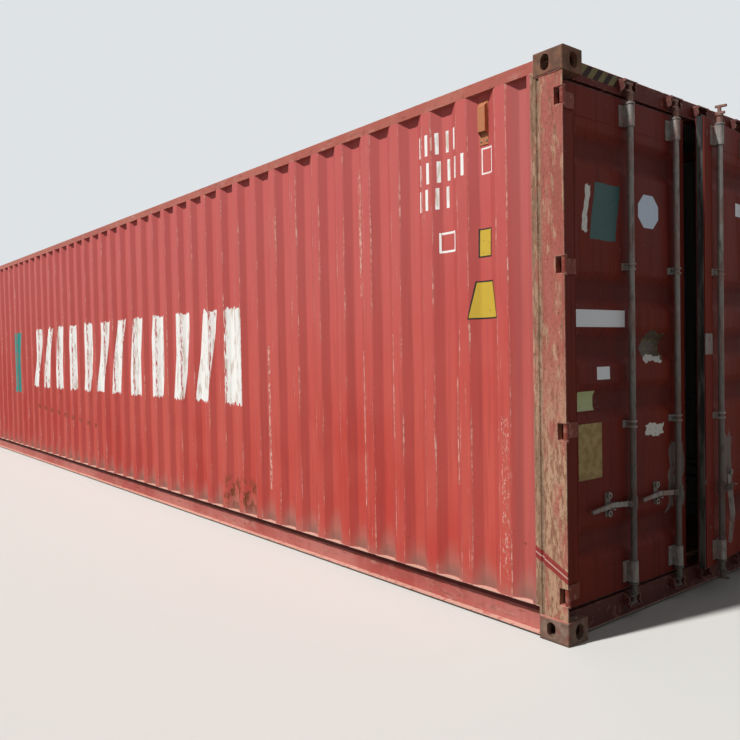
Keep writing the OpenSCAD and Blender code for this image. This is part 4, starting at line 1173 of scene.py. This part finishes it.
@dataclass
class Roof(Sheet):
    """The corrugated roof, whose corrugations run out before the rails, and its end plates."""

    pitch: float = 0.209
    crest: float = 0.091
    slope: float = 0.0135
    depth: float = 0.02
    bend: float = 6 * MM
    fade: float = 0.05
    sag: float = 3 * MM
    plate: float = 0.3

    def __post_init__(self) -> None:
        """Takes the roof's end and half width from the frame."""
        self.end, self.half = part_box("roof")[1][:2]

    def sharp(self, x: np.ndarray) -> np.ndarray:
        """Depth of the sharp corrugations, with a crest over the middle of the container."""
        return self.depth * self.wave(self.away(x))

    def sheet(self) -> Form:
        """The sheet as a shell with sagging bays."""
        steps = np.array([0, 30, 40, 45, 50, 55, 60, 65, 85, 104.5]) * MM
        columns = self.columns(self.pitch * np.arange(-28, 29), steps, POST_INNER,
                               [[-POST_INNER, POST_INNER]])
        rows = np.concatenate([np.linspace(0, 0.95, 9),
                               np.linspace(self.half - 0.12, self.half, 7)])
        x, y = np.meshgrid(columns, np.concatenate([-rows[:0:-1], rows]), indexing="ij")
        fading = np.clip((self.half - 0.03 - np.abs(y)) / self.fade, 0, 1)
        press = rounded(self.sharp, x, self.bend) * eased(fading)
        press += self.sag * (1 + np.sin(2.3 * x)) * np.sin(4 * y) ** 2 * fading
        return self.shell(np.stack([x, y, ROOF_TOP - np.minimum(press, self.depth)], -1))

    def build(self) -> None:
        """Makes the sheet with the plate over each end, then their welds."""
        inner = self.end - self.plate
        plates = Form.joined([
            slab((inner, -HALF_INNER, ROOF_TOP), (self.end, HALF_INNER, ROOF_TOP + 4 * MM)),
            slab((inner, -HALF_INNER, ROOF_TOP - 0.01),
                 (inner + 4 * MM, HALF_INNER, ROOF_TOP + 3 * MM))])
        far = Form(plates.points * (-1, -1, 1), plates.faces, plates.coats)
        make_piece("roof_sheet", Form.joined([self.sheet(), plates, far]),
                   [RoofPaint(), InnerPaint()], "container", ["roof"])
        beads = [weld([(-POST_INNER, y, ROOF_TOP), (POST_INNER, y, ROOF_TOP)], (0, 0, 1),
                      8 * MM, 14 * MM) for y in (-self.half, self.half)]
        floor = ROOF_TOP - self.depth
        beads += [weld([(x, -1.08, floor), (x, 1.08, floor)], (0, 0, 1), 6 * MM, 12 * MM)
                  for x in self.pitch * (np.arange(-25, 26, 5) + 0.5)]
        make_piece("roof_welds", Form.joined(beads), [RoofPaint()], "container")


@dataclass
class Door:
    """One door: a sheet with five level ribs, lipped seals, plain films and bolts.

    All is worked out for the closed left door; place() carries it to the door's own place.
    """

    right: bool = False
    ribs: tuple[float, ...] = (-1.0, -0.285, 0.0, 0.285, 1.0)
    middle: float = 1.458
    floor: float = 0.058
    slope: float = 0.066
    depth: float = 0.036
    thickness: float = 2 * MM
    bend: float = 9 * MM
    fade: float = 0.035
    bulge: float = 1.5 * MM
    rods: tuple[float, float] = (-0.61, -0.15)
    brackets: tuple[float, float] = (0.25, 2.666)
    guides: tuple[float, float] = (1.041, 1.875)
    seal: float = 9 * MM
    seal_middle: float = 5 * MM

    def __post_init__(self) -> None:
        """Takes the hinge's place and the angle at which the door stands from the record."""
        self.side = "right" if self.right else "left"
        self.low, self.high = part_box("door_panel_left")
        joints = {row["name"]: row for row in frame["record"]["behaviour"]["joints"]}
        hinge = joints["door_right_hinge"]
        self.pin = hinge["pos_m"]
        self.ajar = math.radians(-hinge["range_deg"][0]) if self.right else 0.0
        out = (math.cos(self.ajar), math.sin(self.ajar), 0.0)
        face = (DOOR_FACE - self.pin[0]) + out[0] * self.pin[0] + out[1] * self.pin[1]
        self.paint = (DoorPaint(out, face, (0.257, 0.403), (0.61, 0.92)) if self.right else
                      DoorPaint(out, DOOR_FACE, (-0.2, -0.02), (0.5, 0.915)))

    def place(self, form: Form) -> Form:
        """Carries a form from the closed left door to this door."""
        return form.mirrored().turned(self.pin, self.ajar) if self.right else form

    def make(self, name: str, form: Form, finishes: Sequence[Finish],
             replaces: Sequence[str] = ()) -> None:
        """Makes a piece that rides on this door."""
        make_piece(f"{name}_{self.side}", self.place(form), finishes, f"door_{self.side}",
                   replaces)

    def sharp(self, z: np.ndarray) -> np.ndarray:
        """Depth of the sharp ribs: full on a rib's floor, falling to 0 along its slopes."""
        away = np.min([np.abs(z - self.middle - rib) for rib in self.ribs], axis=0)
        return self.depth * np.clip((self.floor / 2 + self.slope - away) / self.slope, 0, 1)

    def surface(self, y: np.ndarray, z: np.ndarray, lift: float = 0.0) -> np.ndarray:
        """Points of the sheet's face: the ribs fade out beside the stiles."""
        fading = np.clip(np.minimum(y - self.low[1], self.high[1] - y) / self.fade, 0, 1)
        press = rounded(self.sharp, z, self.bend) * eased(fading)
        bulge = self.bulge * (np.sin(5 * y + 3 * z) + np.sin(9 * z - 2 * y)) * fading
        return np.stack([DOOR_FACE - press - np.clip(bulge, 0, None) + lift, y, z], -1)

    def panel(self) -> None:
        """Makes the sheet as a shell: point (i, j) lies at place y_i and height z_j."""
        low, high = self.low, self.high
        steps = np.array([0, 15, 22, 27, 32, 37, 43, 60, 80, 86, 91, 96, 101, 107, 120]) * MM
        z = self.middle + np.array([[rib + s, rib - s] for rib in self.ribs for s in steps]).ravel()
        z = np.concatenate([z, np.linspace(low[2], high[2], 20)])
        z = np.unique(np.round(z[(z >= low[2] - 1e-6) & (z <= high[2] + 1e-6)], 4))
        ends = np.array([0, 6, 12, 18, 24, 30, 36]) * MM
        y = np.concatenate([low[1] + ends, high[1] - ends, np.linspace(low[1], high[1], 14)])
        front = self.surface(*np.meshgrid(np.unique(np.round(y, 4)), z, indexing="ij"))
        sheet = Form.shell(front, thickened(front, self.thickness), (0, 1, 0))
        self.make("door_sheet", sheet, [self.paint, InnerPaint()],
                  [f"door_panel_{self.side}"])
        corners = [(DOOR_FACE, y, z) for y, z in (
            (low[1], low[2]), (high[1], low[2]), (high[1], high[2]), (low[1], high[2]))]
        beads = [weld(ends, (1, 0, 0), 6 * MM, 8 * MM)
                 for ends in zip(corners, corners[1:] + corners[:1])]
        self.make("door_welds", Form.joined(beads), [self.paint])

    def rubber(self) -> None:
        """Makes the seal: a profile with two lips, carried round the edge of the leaf."""
        low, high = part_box("door_frame_left")
        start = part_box("door_seal_left")[0][0]
        profile = np.array([
            (0, 0), (0, 36), (4.6, 36), (8.4, 34.4), (9, 32), (8.2, 30.2), (4.6, 29.4), (3.6, 25),
            (3.6, 12), (4.6, 6.6), (8.2, 5.8), (9, 4), (8.4, 1.6), (4.6, 0)]) * MM
        out, deep = profile.T
        thin = out * self.seal_middle / self.seal
        rings = [np.stack([start + deep, y, z], -1) for y, z in (
            (low[1] - out, low[2] - out), (high[1] + thin, low[2] - out),
            (high[1] + thin, high[2] + out), (low[1] - out, high[2] + out))]
        self.make("door_seal_lips", Form.loft(np.array(rings), endless=True), [SealRubber()],
                  [f"door_seal_{self.side}"])

    def bolts(self) -> None:
        """Puts bolts on the brackets and guides of the rods."""
        heads = []
        for rod in self.rods:
            heads += [(0, rod + dy, centre + dz) for centre in self.brackets
                      for dy in (-0.045, 0.045) for dz in (-0.038, 0.038)]
            heads += [(0, rod + dy, centre) for centre in self.guides for dy in (-0.038, 0.038)]
        head = bolt((DOOR_FACE + 6 * MM, 0, 0), (1, 0, 0), 7 * MM)
        self.make("rod_bolts", head.copies(heads), [ZincCoat()])

    def signs(self) -> None:
        """Lays plain films where the door carries signs, and rivets the blank plate on."""
        white, torn_white = VinylFilm("#ECEEF2", amount=0.3), VinylFilm("#DAD6CE", amount=0.7)
        if self.right:
            self.films([(0, (-0.685, 2.238), (-0.476, 2.318), {})], [white])
            return
        teal, pale = VinylFilm("#164844", "#22383A", 0.6), VinylFilm("#CBD8EA", amount=0.3)
        lime, stain = VinylFilm("#B9C08A", "#6E6A44", 0.5), VinylFilm("#4A3C30", "#7A6A3E", 0.9)
        self.films([
            (0, (-1.055, 1.556), (-0.623, 1.644), {}),
            (5, (-0.45, 1.36), (-0.23, 1.545), {"torn": 0.03, "slant": 0.03}),
            (1, (-0.44, 1.355), (-0.25, 1.41), {"torn": 0.02, "lift": 0.9 * MM}),
            (0, (-0.879, 1.285), (-0.765, 1.351), {}),
            (4, (-1.015, 1.128), (-0.872, 1.228), {}),
            (1, (-0.44, 0.945), (-0.24, 1.03), {"torn": 0.02}),
            (2, (-0.93, 2.0), (-0.7, 2.297), {"slant": 0.045, "torn": 0.006}),
            (3, (-0.488, 2.1), (-0.286, 2.28), {"cut": 0.055}),
            (1, (-1.0, 2.03), (-0.945, 2.28), {"slant": 0.03, "torn": 0.014})],
            [white, torn_white, teal, pale, lime, stain])
        face = DOOR_FACE + 2.5 * MM
        plate = slab((DOOR_FACE - 0.5 * MM, -1.046, 0.781), (face, -0.846, 1.066), 0.6 * MM)
        self.make("door_plate", plate, [EtchedPlate()])
        heads = rivet((face, 0, 0), (1, 0, 0)).copies([
            (0, y, z) for y in (-1.036, -0.946, -0.856) for z in (0.791, 1.056)])
        self.make("plate_rivets", heads, [ZincCoat()])

    def films(self, rows: Sequence[tuple], finishes: Sequence[Finish]) -> None:
        """Makes the films: each row has a finish's number, two corners and other sizes."""
        forms = [film(low, high, self.surface, **more).coated(coat)
                 for coat, low, high, more in rows]
        self.make("door_films", Form.joined(forms), finishes)

    def build(self) -> None:
        """Makes the door's pieces."""
        self.panel()
        self.rubber()
        self.bolts()
        self.signs()


@dataclass
class Frame:
    """Welds on the posts and rails, and the screws of the floor."""

    plate: float = 1.213
    groove: float = 43.5 * MM
    post: tuple[float, float] = (5.925, 6.084)
    door_plane: float = 6.04
    floor: float = 0.172

    def welds(self) -> None:
        """Makes the beads where the posts, rails, sills and walls meet."""
        wall, y = SideWall(), -self.plate
        x = np.linspace(-wall.end, wall.end, 2200)
        foot = wall.surface(x, np.full_like(x, wall.foot), 0.5 * MM)
        corner = Form.joined([
            weld(foot, (0, -1, 1), 6 * MM, 12 * MM),
            weld([(POST_INNER, y + self.groove, z) for z in (0.03, 0.112)], (-1, -1, 0)),
            weld([(POST_INNER, y, z) for z in (2.812, 2.864)], (-1, -1, 0)),
            weld([(POST_INNER, place, ROOF_TOP) for place in (y + 4 * MM, -1.16)], (-1, 0, 1)),
            weld([(x, y, 0.118) for x in self.post], (0, -1, 1)),
            weld([(x, y, 2.778) for x in self.post], (0, -1, -1))])
        door_end = Form.joined([weld([(self.door_plane, -HALF_INNER, z) for z in ends], (1, 1, 0))
                                for ends in ((0.02, 0.112), (2.784, 2.862))])
        forms = [corner, corner.mirrored(0), corner.mirrored(1), corner.mirrored(0).mirrored(1),
                 door_end, door_end.mirrored(1)]
        make_piece("frame_welds", Form.joined(forms), [FramePaint()], "container")

    def screws(self) -> None:
        """Sinks the floor screws: rows across the floor, 0.3 m apart."""
        profile = [(6 * MM, -1 * MM), (6 * MM, 0.3 * MM), (3.5 * MM, 0.5 * MM)]
        places = [(x, y, 0.0) for x in np.arange(-5.85, 5.9, 0.3)
                  for y in (-1.12, -0.8, -0.42, -0.06, 0.06, 0.42, 0.8, 1.12)]
        screws = lathe(profile, (0, 0, self.floor), (0, 0, 1), sides=8).copies(places)
        make_piece("floor_screws", screws, [ZincCoat()], "container")

    def build(self) -> None:
        """Makes the welds and the screws."""
        self.welds()
        self.screws()


@dataclass
class Dress:
    """Gives each of the frame's own nodes its finish."""

    left: Door
    right: Door

    def build(self) -> None:
        """Sets the finish of every node."""
        low_casting, zinc, bitumen = CastingPaint("#6E5648", "#8C7264"), ZincCoat(), UndersideCoat()
        table: dict[str, Finish] = {
            "casting_door_low": low_casting,
            "casting_front_low": low_casting,
            "casting": CastingPaint(),
            "door_post": PostPaint(),
            "front_posts": PostPaint(low=0.7),
            "top_side_rails": FramePaint("#A9574A", "#B87060"),
            # Painted shadow under the top flange, from 0.118 m up to 0.157 m.
            "bottom_side_rails": FramePaint("#A84E46", "#C07A70", edge=0.157, shade=0.118),
            "door_header": HeaderPaint(),
            # Painted shade: the door sill takes the doors' darkened red.
            "door_sill": FramePaint("#4A201B", "#562A24", 0.1),
            "front_top_rail": FramePaint(),
            "front_sill": FramePaint(bare=0.5),
            "side_wall": WallPaint(),
            "front_wall": PanelPaint(),
            "roof": RoofPaint(),
            "floor_boards": Plywood(),
            "cross_members": bitumen,
            "gooseneck_tunnel": bitumen,
            "side_vents": VentPaint(),
            "hinge_lugs": FramePaint(bare=0.5),
            # Painted shade: the cam keepers take the doors' darkened red.
            "cam_keepers": FramePaint("#54241E", "#603029"),
            "rod_brackets": zinc,
            "lock_rod": ZincCoat("#8C8680", 2.74, 1.2),
            "handle": zinc,
            "hinge_blades": FramePaint("#7A3026", "#86402F"),
            "door_seal": SealRubber()}
        for door in (self.left, self.right):
            table |= {f"door_frame_{door.side}": door.paint, f"door_panel_{door.side}": door.paint}
        for name, node in frame["nodes"].items():
            finish = next(f for start, f in table.items() if name.startswith(start))
            node.data.materials.clear()
            node.data.materials.append(finish.material())


@dataclass
class Studio:
    """The pale floor, the soft light and the camera."""

    place: tuple[float, float, float] = (8.340, -4.237, 1.464)
    yaw: float = 141.05
    pitch: float = -1.563
    roll: float = -1.076
    lens: float = 37.03
    key: float = 4.2
    far_side: float = 1.2
    fill: float = 0.19
    sky: str = "#F4F6FA"
    backdrop: str = "#DFE3E6"
    floor_lit: str = "#83817D"
    floor_seen: str = "#CFCDC8"
    floor_reach: float = 400.0

    def floor(self) -> None:
        """A round floor whose colour fades into the backdrop far from the container.

        The camera sees it pale; the object gets the light of a darker floor, as in a yard.
        """
        angle = np.linspace(0, 2 * math.pi, 97)[:-1]
        round_edge = np.stack([np.cos(angle), np.sin(angle), np.zeros_like(angle)], -1)
        rings = [r * round_edge + (0, 0, z) for r, z in (
            (self.floor_reach, -0.05), (self.floor_reach, 0.0), (60.0, 0.0), (1.0, 0.0))]
        brush = Brush("StudioFloor")
        distance = brush.add("ShaderNodeVectorMath", {0: brush.place}, "Value", operation="LENGTH")
        seen = brush.add("ShaderNodeLightPath", out="Is Camera Ray")
        shade = brush.over(Coat(self.floor_lit, 0.0), (Coat(self.floor_seen, 0.0), seen))
        near = brush.add("ShaderNodeBsdfDiffuse", {"Color": shade.colour})
        far = brush.add("ShaderNodeEmission", {"Color": self.backdrop, "Strength": 1.0})
        both = brush.add("ShaderNodeMixShader", {
            0: brush.band(distance, 37, None, 23), 1: near, 2: far})
        brush.add("ShaderNodeOutputMaterial", {"Surface": both})
        make_object("studio_floor", Form.loft(np.array(rings)), [brush.material])

    def world(self) -> None:
        """An even fill on the object, with the backdrop's colour where the camera looks past it."""
        world = bpy.data.worlds.new("studio")
        bpy.context.scene.world = world
        world.use_nodes = True
        world.node_tree.nodes.clear()
        add = partial(add_node, world.node_tree)
        rays = add("ShaderNodeLightPath").node.outputs
        seen = rays["Is Camera Ray"]
        for ray in ("Is Glossy Ray", "Is Transmission Ray"):
            seen = add("ShaderNodeMath", {0: seen, 1: rays[ray]}, operation="MAXIMUM")
        fill = add("ShaderNodeBackground", {0: self.sky, 1: self.fill})
        back = add("ShaderNodeBackground", {0: self.backdrop})
        mixed = add("ShaderNodeMixShader", {0: seen, 1: fill, 2: back})
        add("ShaderNodeOutputWorld", {0: mixed})

    def lamp(self, name: str, way: Sequence[float], strength: float, softness: float) -> None:
        """A far lamp that shines along a way, soft over an angle in degrees."""
        light = bpy.data.lights.new(name, "SUN")
        light.energy = strength
        light.angle = math.radians(softness)
        self.put(name, light, basis([-w for w in way]), (0, 0, 0))

    def put(self, name: str, data: bpy.types.ID, axes: Sequence[np.ndarray],
            place: Sequence[float]) -> bpy.types.Object:
        """Puts a lamp or a camera in the scene, turned to three axes, at a place."""
        thing = bpy.data.objects.new(name, data)
        thing.matrix_world = Matrix([*np.stack([*axes, place], -1).tolist(), (0, 0, 0, 1)])
        bpy.context.scene.collection.objects.link(thing)
        return thing

    def camera(self) -> None:
        """A camera at the photograph's place, angle and field of view."""
        yaw, pitch, roll = (math.radians(a) for a in (self.yaw, self.pitch, self.roll))
        flat = math.cos(pitch)
        ahead = np.array([flat * math.cos(yaw), flat * math.sin(yaw), math.sin(pitch)])
        right = np.cross(ahead, (0, 0, 1))
        right /= np.linalg.norm(right)
        up = np.cross(right, ahead)
        across = right * math.cos(roll) + up * math.sin(roll)
        upward = up * math.cos(roll) - right * math.sin(roll)
        data = bpy.data.cameras.new("camera")
        data.lens, data.sensor_width, data.clip_end = self.lens, 36, 1000
        bpy.context.scene.camera = self.put("camera", data, (across, upward, -ahead), self.place)

    def build(self) -> None:
        """Sets up the floor, the world, the lamps and the camera."""
        self.floor()
        self.world()
        self.lamp("key", (0.24, 1.0, -1.3), self.key, 3)
        self.lamp("far_side", (0.6, -1.0, -0.7), self.far_side, 20)
        self.camera()
        bpy.context.scene.view_settings.view_transform = "Standard"


def main() -> None:
    """Builds the container's looks round the frame, then the studio."""
    logging.basicConfig(level=logging.INFO, format="%(message)s")
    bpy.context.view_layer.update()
    wall, left, right = SideWall(), Door(), Door(right=True)
    Dress(left, right).build()
    wall.build()
    wall.dress()
    for part in (FrontWall(), Roof(), left, right, Frame(), Studio()):
        part.build()


if __name__ == "__main__":
    main()
